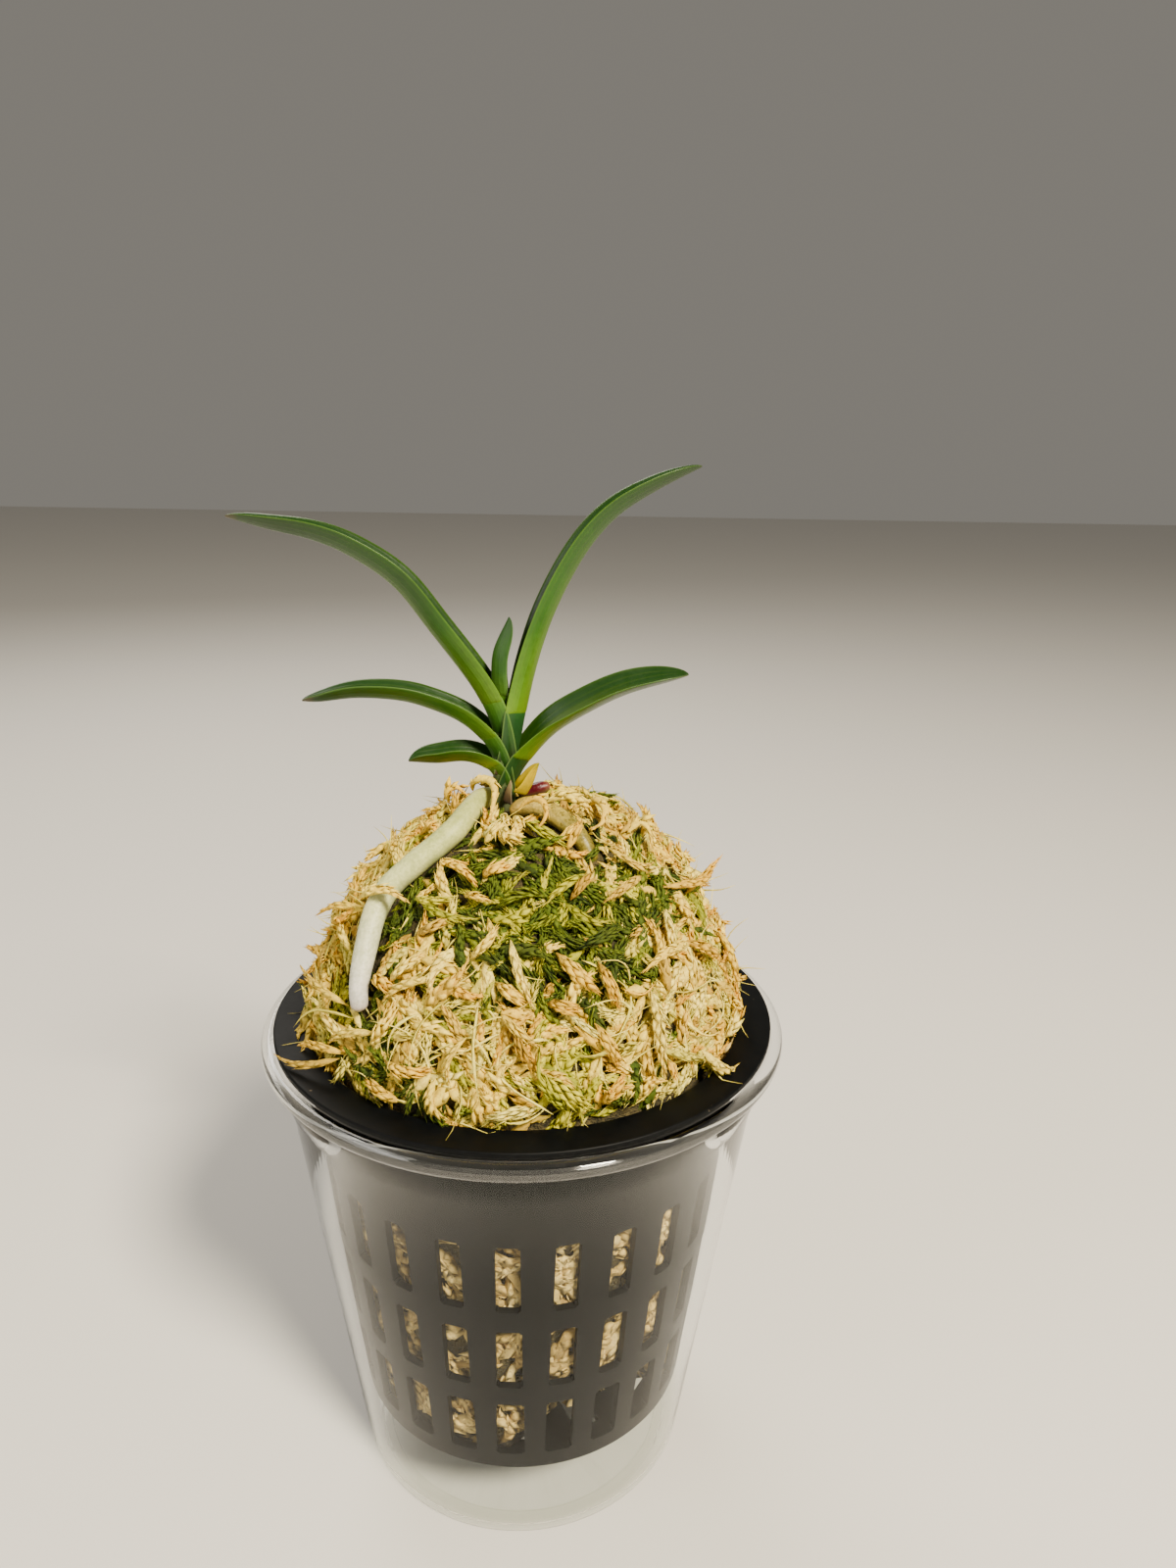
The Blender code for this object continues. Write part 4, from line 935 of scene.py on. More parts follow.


# kinds of strand: length and girth in millimetres, bow and lift as shares of the length, then the core
# (its rings, sides, share of the girth and painted shade) and the scales on it
strandParts = ("length", "girth", "bow", "lift", "belly", "rings", "sides", "core", "coreShade", "scales",
               "scaleLength", "scaleWidth", "flare")
strandSpecs = {kind: dict(zip(strandParts, values)) for kind, values in {
    "plump": (11.0, 1.15, 0.3, 0.3, 1.1, 6, 5, 0.92, 0.45, 24, 2.6, 0.6, 0.04),
    "cone": (9.0, 1.3, 0.2, 0.25, 1.0, 5, 5, 0.66, 0.2, 36, 2.8, 0.5, 0.15),
    "leafy": (10.0, 1.25, 0.2, 0.2, 1.0, 5, 4, 0.42, 0.1, 42, 3.2, 0.36, 0.28),
    "comma": (8.0, 1.1, 0.6, 0.5, 1.3, 8, 6, 0.92, 0.5, 20, 2.8, 0.6, 0.05),
    "curl": (9.0, 0.9, 0.6, 0.5, 1.3, 22, 8, 1.0, 0.55, 10, 2.6, 0.8, 0.04),
    "fibre": (15.0, 0.22, 0.35, 0.5, 1.0, 9, 3, 1.0, 0.6, 0, 1.0, 1.0, 0.0),
    "pressed": (11.0, 1.6, 0.3, 0.05, 1.1, 5, 5, 0.8, 0.4, 12, 3.6, 0.8, 0.08),
}.items()}


def girthAt(t, girth, belly):
    # half the width of a strand along its length, with a belly and a thin tip
    swell = math.sin(math.pi * min(1.0, t * belly + 0.1)) ** 0.7 if t * belly < 0.9 else 0.42
    taper = 1.0 - max(0.0, t - 0.35) ** 2.0 / 0.43
    return girth * max(0.5 + 0.5 * swell, 0.5) * taper * (0.35 + 0.65 * min(1.0, t * 5)) + 0.04 * mm


def scalePoints(spot, ahead, out, radius, girth, spec, dice):
    # one pointed scale on the core: its root, two sides, back and tip
    reach = spec["scaleLength"] * mm * dice.uniform(0.7, 1.3) * (0.45 + 0.55 * radius / girth)
    half = radius * spec["scaleWidth"] * dice.uniform(0.8, 1.2)
    flare = dice.uniform(0.2, 1.0) * spec["flare"]
    sweep = ahead.cross(out).normalized()
    root = spot + out * radius * spec["core"] * 0.8
    lifted = radius * (1.0 - spec["core"] * 0.8) * 0.55 + reach * flare * 0.25
    middle = root + ahead * reach * 0.45 + out * lifted
    curl = dice.uniform(-0.12, 0.12)
    tip = root + ahead * reach + out * (radius * 0.05 + reach * flare) + sweep * curl * reach
    return [root, middle + sweep * half - out * half * 0.35, middle - sweep * half - out * half * 0.35,
            middle + out * radius * 0.12, tip]


def strandMesh(route, girth, spec, dice, hint=Vector((0, 0, 1))):
    # one strand of moss: a tapered core along the route, wrapped in scales that point to the tip
    line = smoothRoute(route, 25)
    size = len(line) - 1

    def spotAt(t):
        place = min(max(t, 0.0), 1.0) * size
        k = min(int(place), size - 1)
        return Vector(line[k] + (line[k + 1] - line[k]) * (place - k))

    def outAt(t, turn):
        # the way the strand runs, and the way out of it at this turn round it
        ahead = (spotAt(t + 0.03) - spotAt(t - 0.03)).normalized()
        beside = ahead.cross(hint).normalized()
        return ahead, beside * math.cos(turn) + beside.cross(ahead) * math.sin(turn) * 0.8

    twist = dice.uniform(0, fullTurn)
    verts, alongs = [], []
    rings, sides = spec["rings"], spec["sides"]
    for k in range(rings + 1):
        t = k / rings
        radius = girthAt(t, girth, spec["belly"]) * spec["core"] * (0.5 if k in (0, rings) else 1.0)
        for j in range(sides):
            verts.append(spotAt(t) + outAt(t, fullTurn * j / sides + twist + 0.5 * k)[1] * radius)
            alongs.append(t)
    # the core's value sets the painted shade on the core under the scales
    rimShades = [spec["coreShade"]] * len(verts)
    faces = ringFaces(rings + 1, sides)
    faces.append(tuple(range(sides - 1, -1, -1)))
    faces.append(tuple(range(rings * sides, rings * sides + sides)))
    for k in range(spec["scales"]):
        t = 0.02 + 0.9 * (k + dice.random() * 0.7) / spec["scales"]
        ahead, out = outAt(t, k * goldenTurn + twist)
        root, left, right, back, tip = range(len(verts), len(verts) + 5)
        verts += scalePoints(spotAt(t), ahead, out, girthAt(t, girth, spec["belly"]), girth, spec, dice)
        alongs += [t] * 4 + [min(1.0, t + 0.1)]
        # values from a scale's root to its tip: the low ones paint shade where scales meet the core
        rimShades += [0.0, 0.55, 0.55, 0.5, 1.0]
        faces += [(root, back, left), (root, right, back), (root, left, right), (tip, left, back),
                  (tip, back, right), (tip, right, left)]
    return verts, faces, alongs, rimShades


def strandPiece(name, parts):
    verts, faces, alongs, rimShades, tones = [], [], [], [], []
    for (points, shapes, along, rim), tone in parts:
        start = len(verts)
        verts += points
        faces += [tuple(start + index for index in face) for face in shapes]
        alongs += along
        rimShades += rim
        tones += [tone] * len(points)
    piece = newPiece(name, verts, faces)
    pointAttribute(piece.data, "along", alongs)
    pointAttribute(piece.data, "rim", rimShades)
    if tones[0] is not None:
        pointAttribute(piece.data, "tone", tones)
    return faceOutward(piece)


def kitRoute(dice, spec):
    # a strand lying along X over a heap that curves away, bowed to one side with its tip lifted
    length = spec["length"] * dice.uniform(0.75, 1.2) * mm
    bow = dice.uniform(-1, 1) * spec["bow"] * length
    lift = dice.uniform(0.0, 1.0) ** 2 * spec["lift"] * length
    wave = dice.uniform(0, fullTurn)
    route = []
    for k in range(8):
        t = k / 7
        run = (t - 0.35) * length
        side = bow * math.sin(math.pi * t) + 0.04 * length * math.sin(5.5 * t + wave)
        route.append((run, side, lift * max(0.0, t - 0.45) ** 2 * 3.3 - run * run / (72 * mm)))
    return route


def strandKit(name, count, kinds, seed):
    # a collection of different strands to scatter
    dice = random.Random(seed)
    kit = bpy.data.collections.new(name)
    for k in range(count):
        spec = strandSpecs[kinds[k % len(kinds)]]
        shape = strandMesh(kitRoute(dice, spec), spec["girth"] * dice.uniform(0.8, 1.25) * mm, spec, dice)
        piece = strandPiece(f"{name}{k}", [(shape, None)])
        bpy.context.scene.collection.objects.unlink(piece)
        kit.objects.link(piece)
    return kit


def removeKit(kit):
    for piece in list(kit.objects):
        bpy.data.objects.remove(piece, do_unlink=True)
    bpy.data.collections.remove(kit)


def scatterTree():
    # places the strands of a kit over a surface, each with its own turn, tilt, size and tone
    tree = bpy.data.node_groups.new("strandScatter", "GeometryNodeTree")
    kinds = {"Geometry": "Geometry", "Kit": "Collection", "Spacing": "Float", "Density": "Float",
             "Smallest": "Float", "Largest": "Float", "Tilt": "Float", "Seed": "Int", "Finish": "Material"}
    names = {}
    for label, kind in kinds.items():
        socket = tree.interface.new_socket(name=label, in_out="INPUT", socket_type="NodeSocket" + kind)
        names[label] = socket.identifier
    tree.interface.new_socket(name="Geometry", in_out="OUTPUT", socket_type="NodeSocketGeometry")
    given, result = tree.nodes.new("NodeGroupInput").outputs, tree.nodes.new("NodeGroupOutput")

    def chance(offset, low, high):
        inputs = {2: low, 3: high, "Seed": calculate(tree, "ADD", given["Seed"], offset)}
        return put(tree, "FunctionNodeRandomValue", inputs, data_type="FLOAT").outputs[1]

    cover = put(tree, "GeometryNodeInputNamedAttribute", {"Name": "cover"}, data_type="FLOAT")
    points = put(tree, "GeometryNodeDistributePointsOnFaces", {
        "Mesh": given["Geometry"], "Distance Min": given["Spacing"], "Density Max": given["Density"],
        "Density Factor": cover.outputs["Attribute"], "Seed": given["Seed"]},
        distribute_method="POISSON").outputs
    rotation = points["Rotation"]
    spin = {"Z": chance(0.0, 0.0, fullTurn)}
    tilt = {"X": chance(13.0, -0.5, 0.5), "Y": chance(7.0, -0.35, given["Tilt"])}
    for angles in (spin, tilt):
        euler = put(tree, "ShaderNodeCombineXYZ", angles).outputs[0]
        turns = {0: rotation, 1: put(tree, "FunctionNodeEulerToRotation", {0: euler}).outputs[0]}
        rotation = put(tree, "FunctionNodeRotateRotation", turns, rotation_space="LOCAL").outputs[0]
    kit = put(tree, "GeometryNodeCollectionInfo", {
        "Collection": given["Kit"], "Separate Children": True, "Reset Children": True})
    placed = put(tree, "GeometryNodeInstanceOnPoints", {
        "Points": points["Points"], "Instance": kit.outputs[0], "Pick Instance": True, "Rotation": rotation,
        "Scale": chance(21.0, given["Smallest"], given["Largest"])})
    toned = put(tree, "GeometryNodeStoreNamedAttribute", {
        "Geometry": placed.outputs["Instances"], "Name": "tone", "Value": chance(34.0, 0.0, 1.0)},
        data_type="FLOAT", domain="INSTANCE")
    real = put(tree, "GeometryNodeRealizeInstances", {"Geometry": toned.outputs["Geometry"]})
    dressed = put(tree, "GeometryNodeSetMaterial", {
        "Geometry": real.outputs["Geometry"], "Material": given["Finish"]})
    tree.links.new(dressed.outputs["Geometry"], result.inputs["Geometry"])
    return tree, names


def scatter(name, emitter, cover, kit, finish, tree, names, settings):
    # covers the emitter with strands and keeps the result as a plain mesh
    pointAttribute(emitter.data, "cover", cover)
    grow = emitter.modifiers.new("grow", "NODES")
    grow.node_group = tree
    smallest, largest = settings["size"]
    values = {"Kit": kit, "Spacing": settings["spacing"] * mm, "Density": settings["density"],
              "Smallest": smallest, "Largest": largest, "Tilt": settings["tilt"], "Seed": settings["seed"],
              "Finish": finish}
    for label, value in values.items():
        grow[names[label]] = value
    graph = bpy.context.evaluated_depsgraph_get()
    mesh = bpy.data.meshes.new_from_object(emitter.evaluated_get(graph))
    emitter.modifiers.remove(grow)
    mesh.name = name
    piece = bpy.data.objects.new(name, mesh)
    bpy.context.scene.collection.objects.link(piece)
    print(f"  {name}: {sum(len(face.vertices) - 2 for face in mesh.polygons)} triangles")
    return piece


# how strands settle round the plant, on the flange and inside the net pot, in millimetres
settling = {
    "ceiling": 134.3, "rootShare": 0.97, "rootSteps": 40, "reach": 46.3, "mouth": 38.6, "clear": 0.12,
    "squash": 0.05, "floorClear": 0.1,
}


def clearOfRoots(piece):
    # leaves out the strands that would run into a root or the stem, or stand up beside it
    points = meshPoints(piece.data)
    tones = np.zeros(len(points), np.float32)
    piece.data.attributes["tone"].data.foreach_get("value", tones)
    hit = points[:, 2] > settling["ceiling"] * mm
    for root in roots.values():
        for row in smoothRoute(inMetres(root["points"]), settling["rootSteps"]):
            hit |= np.linalg.norm(points - row[:3], axis=1) < row[3] * settling["rootShare"]
    unwanted = np.unique(tones[hit])
    shape = bmesh.new()
    shape.from_mesh(piece.data)
    shape.verts.ensure_lookup_table()
    gone = [shape.verts[k] for k in np.nonzero(np.isin(tones, unwanted))[0]]
    bmesh.ops.delete(shape, geom=gone, context="VERTS")
    shape.to_mesh(piece.data)
    shape.free()
    piece.data.shade_smooth()


def drawIn(points, limit):
    # brings points to within a distance of the axis, and gives how far out they were
    radius = np.hypot(points[:, 0], points[:, 1])
    points[:, :2] *= np.minimum(1.0, limit / np.maximum(radius, 1e-9))[:, None]
    return radius


def keepOnFlange(piece):
    points = meshPoints(piece.data)
    top = (netPot["flangeBottom"] + netPot["flange"] + settling["clear"]) * mm
    radius = drawIn(points, settling["reach"] * mm)
    low = (radius > settling["mouth"] * mm) & (points[:, 2] < top)
    points[low, 2] = top + settling["squash"] * (top - points[low, 2])
    setMeshPoints(piece.data, points)
    return piece


def keepInPot(piece):
    points = meshPoints(piece.data)
    drawIn(points, (potSide(points[:, 2] / mm) - netPot["wall"] - settling["clear"]) * mm)
    points[:, 2] = np.maximum(points[:, 2], (netPot["bottom"] + netPot["wall"] + settling["floorClear"]) * mm)
    setMeshPoints(piece.data, points)


# tones from the darkest strand to the palest, the colour of the tip and how strong it is there
strandFinishes = {
    "cream": ("mossStraw", [
        (0.0, (0.42, 0.25, 0.02)), (0.3, (0.76, 0.55, 0.055)), (0.7, (0.88, 0.70, 0.10)),
        (1.0, (0.93, 0.79, 0.18))], (0.82, 0.44, 0.02), 0.5),
    "tan": ("mossTan", [
        (0.0, (0.36, 0.20, 0.01)), (0.35, (0.72, 0.44, 0.03)), (1.0, (0.86, 0.63, 0.07))],
        (0.78, 0.34, 0.01), 0.65),
    "pale": ("mossPale", [
        (0.0, (0.42, 0.37, 0.025)), (0.4, (0.70, 0.62, 0.08)), (1.0, (0.85, 0.76, 0.19))],
        (0.84, 0.66, 0.12), 0.4),
    "deep": ("mossDeep", [
        (0.0, (0.006, 0.022, 0.001)), (0.4, (0.018, 0.048, 0.002)), (0.75, (0.06, 0.10, 0.003)),
        (1.0, (0.22, 0.25, 0.010))], (0.16, 0.20, 0.010), 0.4),
    "lime": ("mossLime", [
        (0.0, (0.13, 0.17, 0.003)), (0.5, (0.36, 0.37, 0.010)), (1.0, (0.62, 0.58, 0.035))],
        (0.68, 0.56, 0.05), 0.5),
    "packed": ("mossPacked", [
        (0.0, (0.34, 0.22, 0.06)), (0.4, (0.60, 0.44, 0.14)), (1.0, (0.82, 0.66, 0.28))],
        (0.48, 0.30, 0.09), 0.3),
}


def strandMaterial(name, tones, tipColour, tipShare):
    material, tree, shader = newMaterial(name, {
        "Specular IOR Level": 0.25, "Subsurface Weight": 0.06, "Subsurface Radius": (0.0012, 0.0009, 0.0005)})
    colour = ramp(tree, attribute(tree, "tone"), tones)
    tint, height = useFlecks(tree, 500.0, (0.72, 0.68, 0.6), (1.18, 1.16, 1.1), 4.0)
    colour = mixColour(tree, 1.0, colour, tint, "MULTIPLY")
    tip = calculate(tree, "MULTIPLY", remap(tree, attribute(tree, "along"), 0.35, 1.0), tipShare)
    colour = mixColour(tree, tip, colour, tipColour)
    # the rim value lightens scale edges towards the palest tone
    rim = attribute(tree, "rim")
    colour = mixColour(tree, calculate(tree, "MULTIPLY", rim, 0.25), colour, tones[-1][1])
    # painted shade: scale roots and the core are darkened, deepening the gaps between scales
    shade = remap(tree, rim, 0.0, 0.6, 0.4, 1.0)
    grey = put(tree, "ShaderNodeCombineColor", {"Red": shade, "Green": shade, "Blue": shade}).outputs["Color"]
    feed(tree, shader, {
        "Base Color": mixColour(tree, 1.0, colour, grey, "MULTIPLY"),
        "Roughness": remap(tree, height, 0.0, 1.0, 0.7, 0.9)})
    addBump(tree, shader, height, 0.3, 0.15 * mm)
    return material


# where the heap's colours lie: what grows there, the middle in millimetres, its reach and its weight
mossPatches = [
    ("deep", (4, -23, 122), 17, 1.1), ("deep", (13, -20, 121), 13, 0.9), ("deep", (10, -29, 115), 8, 1.0),
    ("deep", (-24, -29, 97), 5, 1.0), ("deep", (-14, -35, 93), 6, 0.8), ("deep", (10, -11, 129), 6, 0.8),
    ("deep", (14, -33, 93), 6, 0.6), ("lime", (8, -37, 97), 9, 1.0), ("lime", (16, -18, 123), 8, 0.9),
    ("lime", (2, -26, 120), 10, 0.6), ("lime", (-30, -20, 101), 7, 0.8), ("lime", (-10, -33, 108), 7, 0.4),
    ("tan", (-32, -7, 109), 9, 1.0), ("tan", (32, -13, 110), 9, 0.9), ("tan", (4, -35, 107), 6, 1.0),
    ("tan", (22, -4, 127), 8, 0.7), ("tan", (-20, -4, 126), 7, 0.6), ("pale", (26, -26, 104), 9, 0.8),
    ("pale", (16, -33, 104), 8, 0.8), ("pale", (-8, -35, 103), 9, 0.6), ("deep", (22, -15, 120), 8, 0.5),
    ("lime", (26, -13, 116), 8, 0.7), ("lime", (-7, -25, 120), 8, 0.8), ("deep", (-9, -19, 125), 7, 0.8),
]
mossLayers = {
    "mossDeep": {
        "finish": "deep", "kinds": ["leafy", "plump", "leafy"], "base": 0.04, "spacing": 1.3,
        "density": 500000, "size": (0.5, 0.95), "tilt": 0.2, "seed": 4},
    "mossLime": {
        "finish": "lime", "kinds": ["leafy", "plump"], "base": 0.10, "spacing": 1.9, "density": 260000,
        "size": (0.5, 0.95), "tilt": 0.3, "seed": 9},
    "mossStraw": {
        "finish": "cream", "kinds": ["plump", "cone", "comma", "plump"], "base": 0.8, "spacing": 2.2,
        "density": 260000, "size": (0.7, 1.25), "tilt": 0.4, "seed": 8},
    "mossTan": {
        "finish": "tan", "kinds": ["plump", "comma", "cone"], "base": 0.5, "spacing": 2.5, "density": 200000,
        "size": (0.6, 1.1), "tilt": 0.45, "seed": 15},
    "mossPale": {
        "finish": "pale", "kinds": ["cone", "plump", "leafy"], "base": 0.5, "spacing": 2.3, "density": 220000,
        "size": (0.55, 1.0), "tilt": 0.3, "seed": 16},
    "mossBeside": {
        "finish": "deep", "kinds": ["leafy", "plump"], "base": 0.0, "spacing": 1.0, "density": 900000,
        "size": (0.28, 0.5), "tilt": 0.2, "seed": 31, "beside": "silverRoot"},
    "mossNear": {
        "finish": "cream", "kinds": ["comma", "plump"], "base": 0.0, "spacing": 1.15, "density": 700000,
        "size": (0.28, 0.5), "tilt": 0.25, "seed": 37, "beside": "paleRoot"},
    "mossHair": {
        "finish": "pale", "kinds": ["fibre"], "base": 0.7, "spacing": 2.0, "density": 250000,
        "size": (0.5, 1.1), "tilt": 0.4, "seed": 23},
}
# how growth swells in a patch, drifts, thins over green, thickens low down and stops near the plant
growth = {
    "greens": ("deep", "lime"), "patchReach": 1.2, "patchWeight": 1.4, "driftSize": 7.0, "drift": 1.2,
    "thinning": 0.8, "sharpness": 1.6, "skirt": 93.0, "skirtReach": 5.0, "crown": (-2.0, -1.0, 132.0),
    "crownReach": 5.0, "crownBare": 0.6, "rootSteps": 24, "rootLeast": 0.3, "rootGap": 1.2, "rootFade": 2.0,
    "beside": 1.4, "besideGap": 1.6, "besideFade": 3.2, "kitSize": 9, "kitSeed": 100, "ownSeed": 77,
}


def patchesAt(here, finish):
    # how strongly the patches call for this finish here, and how green the place is
    wanted, green = 0.0, 0.0
    for kind, centre, reach, weight in mossPatches:
        near = weight * max(0.0, growth["patchReach"] - (here - Vector(centre)).length / reach)
        if kind == finish:
            wanted = max(wanted, near)
        if kind in growth["greens"]:
            green = max(green, near)
    return wanted, green


def coverAt(here, layer, rootRows):
    # how thickly a layer grows at one place, in millimetres
    wanted, green = patchesAt(here, layer["finish"])
    drift = noise.noise(here / growth["driftSize"] + Vector((layer["seed"], 0, 0)))
    dry = layer["base"] * (1.0 + growth["drift"] * drift)
    if layer["finish"] not in growth["greens"]:
        dry *= 1.0 - growth["thinning"] * min(1.0, growth["sharpness"] * green)
    skirt = max(0.0, 1.0 - abs(here.z - growth["skirt"]) / growth["skirtReach"])
    fromCrown = (here - Vector(growth["crown"])).length / growth["crownReach"]
    bare = min(1.0, max(0.0, fromCrown - growth["crownBare"]))
    nearest = float(np.linalg.norm(rootRows[:, :3] - here, axis=1).min())
    bare = min(bare, max(growth["rootLeast"], (nearest - growth["rootGap"]) / growth["rootFade"]))
    return (dry * (1.0 + skirt) + growth["patchWeight"] * wanted) * bare


def coverBeside(here, rows):
    # how thickly strands grow in a band beside one root
    gap = float((np.linalg.norm(rows[:, :3] - here, axis=1) - rows[:, 3]).min())
    return max(0.0, growth["beside"] - abs(gap - growth["besideGap"]) / growth["besideFade"])


def coverFor(layer, points):
    rows = {name: smoothRoute(root["points"], growth["rootSteps"]) for name, root in roots.items()}
    if "beside" in layer:
        values = [coverBeside(Vector(place), rows[layer["beside"]]) for place in points / mm]
    else:
        rootRows = np.concatenate([rows[name] for name in ("silverRoot", "paleRoot", "rubyTip")])
        values = [coverAt(Vector(place), layer, rootRows) for place in points / mm]
    return np.clip(values, 0.0, 1.0)


def mossSlot(finish):
    return "green_moss" if finish in growth["greens"] else "dry_moss"


def makeMoss():
    mossBed()
    finishes = {key: strandMaterial(*values) for key, values in strandFinishes.items()}
    tree, names = scatterTree()
    emitter = heapSurface("heapGuide", heap["guideInset"], heap["guideRings"], heap["guideAround"])
    points = meshPoints(emitter.data)
    for order, (name, layer) in enumerate(mossLayers.items()):
        kit = strandKit("kit" + name, growth["kitSize"], layer["kinds"], growth["kitSeed"] + layer["seed"])
        finish = finishes[layer["finish"]]
        piece = scatter(name, emitter, coverFor(layer, points), kit, finish, tree, names, layer)
        removeKit(kit)
        clearOfRoots(piece)
        keepOnFlange(piece)
        finishPiece(piece, finish, mossSlot(layer["finish"]), *(["green_moss"] if order == 0 else []))
    bpy.data.objects.remove(emitter, do_unlink=True)
    makeOwnStrands(finishes)
    makePackedMoss(finishes["packed"], tree, names)
    print("moss made")


# strands with a place of their own on the heap, by finish and kind: bearing round it and height, heading
# from uphill, length, tilt out of the heap, width and bow, in degrees and millimetres
ownStrands = {
    ("cream", "comma"): [(-110, 130, 130, 4, 0, 1.4, 0.2), (-106, 129, 135, 5, 0, 2.0, 0.3)],
    ("cream", "cone"): [(-127, 104, 25, 8, 0, 2.3, 0.1), (-57, 102, -180, 12, 0, 2.3, 0.05)],
    ("cream", "fibre"): [(-42, 101, 125, 10, 0, 0.6, 0.2)],
    ("cream", "plump"): [
        (-17, 128, 80, 7, 5, 1.3, 0.2), (-39, 125, 135, 7, 0, 1.4, 0.4),
        (-161, 123, -80, 7, 5, 1.3, 0.2), (-159, 122, -85, 8, 0, 1.5, 0.2),
        (-55, 122, -105, 8, 0, 1.6, 0.0), (-121, 118, 50, 5, 0, 1.7, 0.1), (-104, 117, 35, 5, 0, 1.6, 0.1),
        (-44, 115, -160, 6, 0, 1.6, 0.1), (-92, 113, 160, 9, 0, 1.6, 0.05), (-125, 112, 40, 6, 0, 1.6, 0.0),
        (-49, 112, -95, 10, 0, 1.9, 0.1), (-156, 111, -80, 7, 0, 1.5, 0.1),
        (-123, 109, -125, 8, 0, 1.5, 0.1), (-92, 106, 130, 6, 0, 1.4, 0.05),
        (-153, 104, -90, 13, 10, 1.5, 0.0), (-106, 101, -165, 6, 0, 1.0, 0.2),
        (-137, 99, -120, 10, 0, 1.5, 0.1), (-26, 96, 60, 4, 0, 1.7, 0.0), (-109, 95, 160, 5, 0, 1.5, 0.3),
        (-149, 94, -100, 11, 30, 1.4, -0.1), (-37, 94, 125, 9, 15, 2.0, 0.15)],
    ("deep", "leafy"): [
        (-93, 122, -100, 6, 0, 1.8, 0.15), (-70, 117, 75, 6, 0, 2.1, 0.0),
        (-99, 114, -60, 5, 0, 1.5, 0.1)],
    ("lime", "fibre"): [(-84, 99, 160, 8, 0, 0.6, 0.25)],
    ("lime", "leafy"): [
        (-85, 129, 130, 8, 0, 2.2, 0.02), (-81, 97, 130, 8, 0, 3.0, 0.0),
        (-84, 97, -35, 6, 0, 2.4, 0.0)],
    ("lime", "plump"): [
        (-77, 123, -120, 8, 0, 1.4, 0.05), (-126, 121, 75, 6, 0, 1.5, 0.15),
        (-118, 120, 95, 9, 0, 1.5, 0.15)],
    ("pale", "fibre"): [
        (-89, 104, -105, 4, 0, 0.6, 0.2), (-71, 104, 65, 8, 0, 0.7, 0.2),
        (-121, 103, -150, 7, 0, 0.6, 0.2), (-101, 102, 175, 12, 0, 0.6, 0.05),
        (-147, 99, -120, 11, 15, 0.6, 0.2)],
    ("pale", "plump"): [
        (-118, 129, 45, 3, 0, 1.6, 0.1), (-76, 106, 130, 5, 0, 1.1, 0.05),
        (-49, 98, 115, 10, 0, 1.4, 0.05)],
    ("tan", "comma"): [(-101, 130, 30, 4, -5, 1.6, 0.35), (-172, 129, -75, 4, 30, 1.4, 0.3)],
    ("tan", "cone"): [
        (-72, 123, 50, 4, 0, 1.8, 0.0), (-77, 113, 140, 7, 0, 2.8, 0.05),
        (-95, 111, 120, 4, 0, 2.4, 0.0), (-69, 111, 165, 6, 0, 2.0, 0.0), (-32, 110, 130, 9, 0, 2.2, 0.0),
        (-131, 109, 100, 4, 0, 2.3, 0.0), (-82, 109, 110, 3, 0, 2.4, 0.0), (-91, 104, 150, 4, 0, 1.7, 0.1),
        (-71, 103, 155, 6, 0, 2.3, 0.0), (-118, 99, 85, 7, 0, 2.0, 0.1)],
    ("tan", "fibre"): [(-60, 110, 95, 5, 0, 0.5, 0.3)],
    ("tan", "plump"): [
        (-175, 130, -15, 4, 0, 1.6, 0.1), (-66, 129, 60, 5, 0, 1.6, 0.1),
        (-11, 127, 65, 6, 20, 1.5, 0.2), (-107, 125, 60, 3, 0, 1.9, 0.0), (-128, 125, 80, 4, 0, 1.5, 0.1),
        (-121, 124, 110, 7, 0, 1.6, -0.1), (-111, 122, 95, 3, 0, 1.3, 0.0),
        (-21, 119, 110, 11, 15, 1.5, 0.15), (-17, 118, 85, 7, 55, 1.3, 0.0),
        (-171, 117, -40, 5, 0, 1.0, 0.3), (-52, 115, 5, 6, 0, 1.5, 0.15),
        (-161, 113, -125, 11, 15, 1.5, 0.1), (-17, 105, -175, 8, -5, 1.8, 0.15),
        (-70, 96, 45, 4, 0, 1.9, 0.0), (-146, 95, -105, 9, 15, 1.5, 0.1), (-124, 94, -70, 5, 0, 2.0, 0.1)],
}
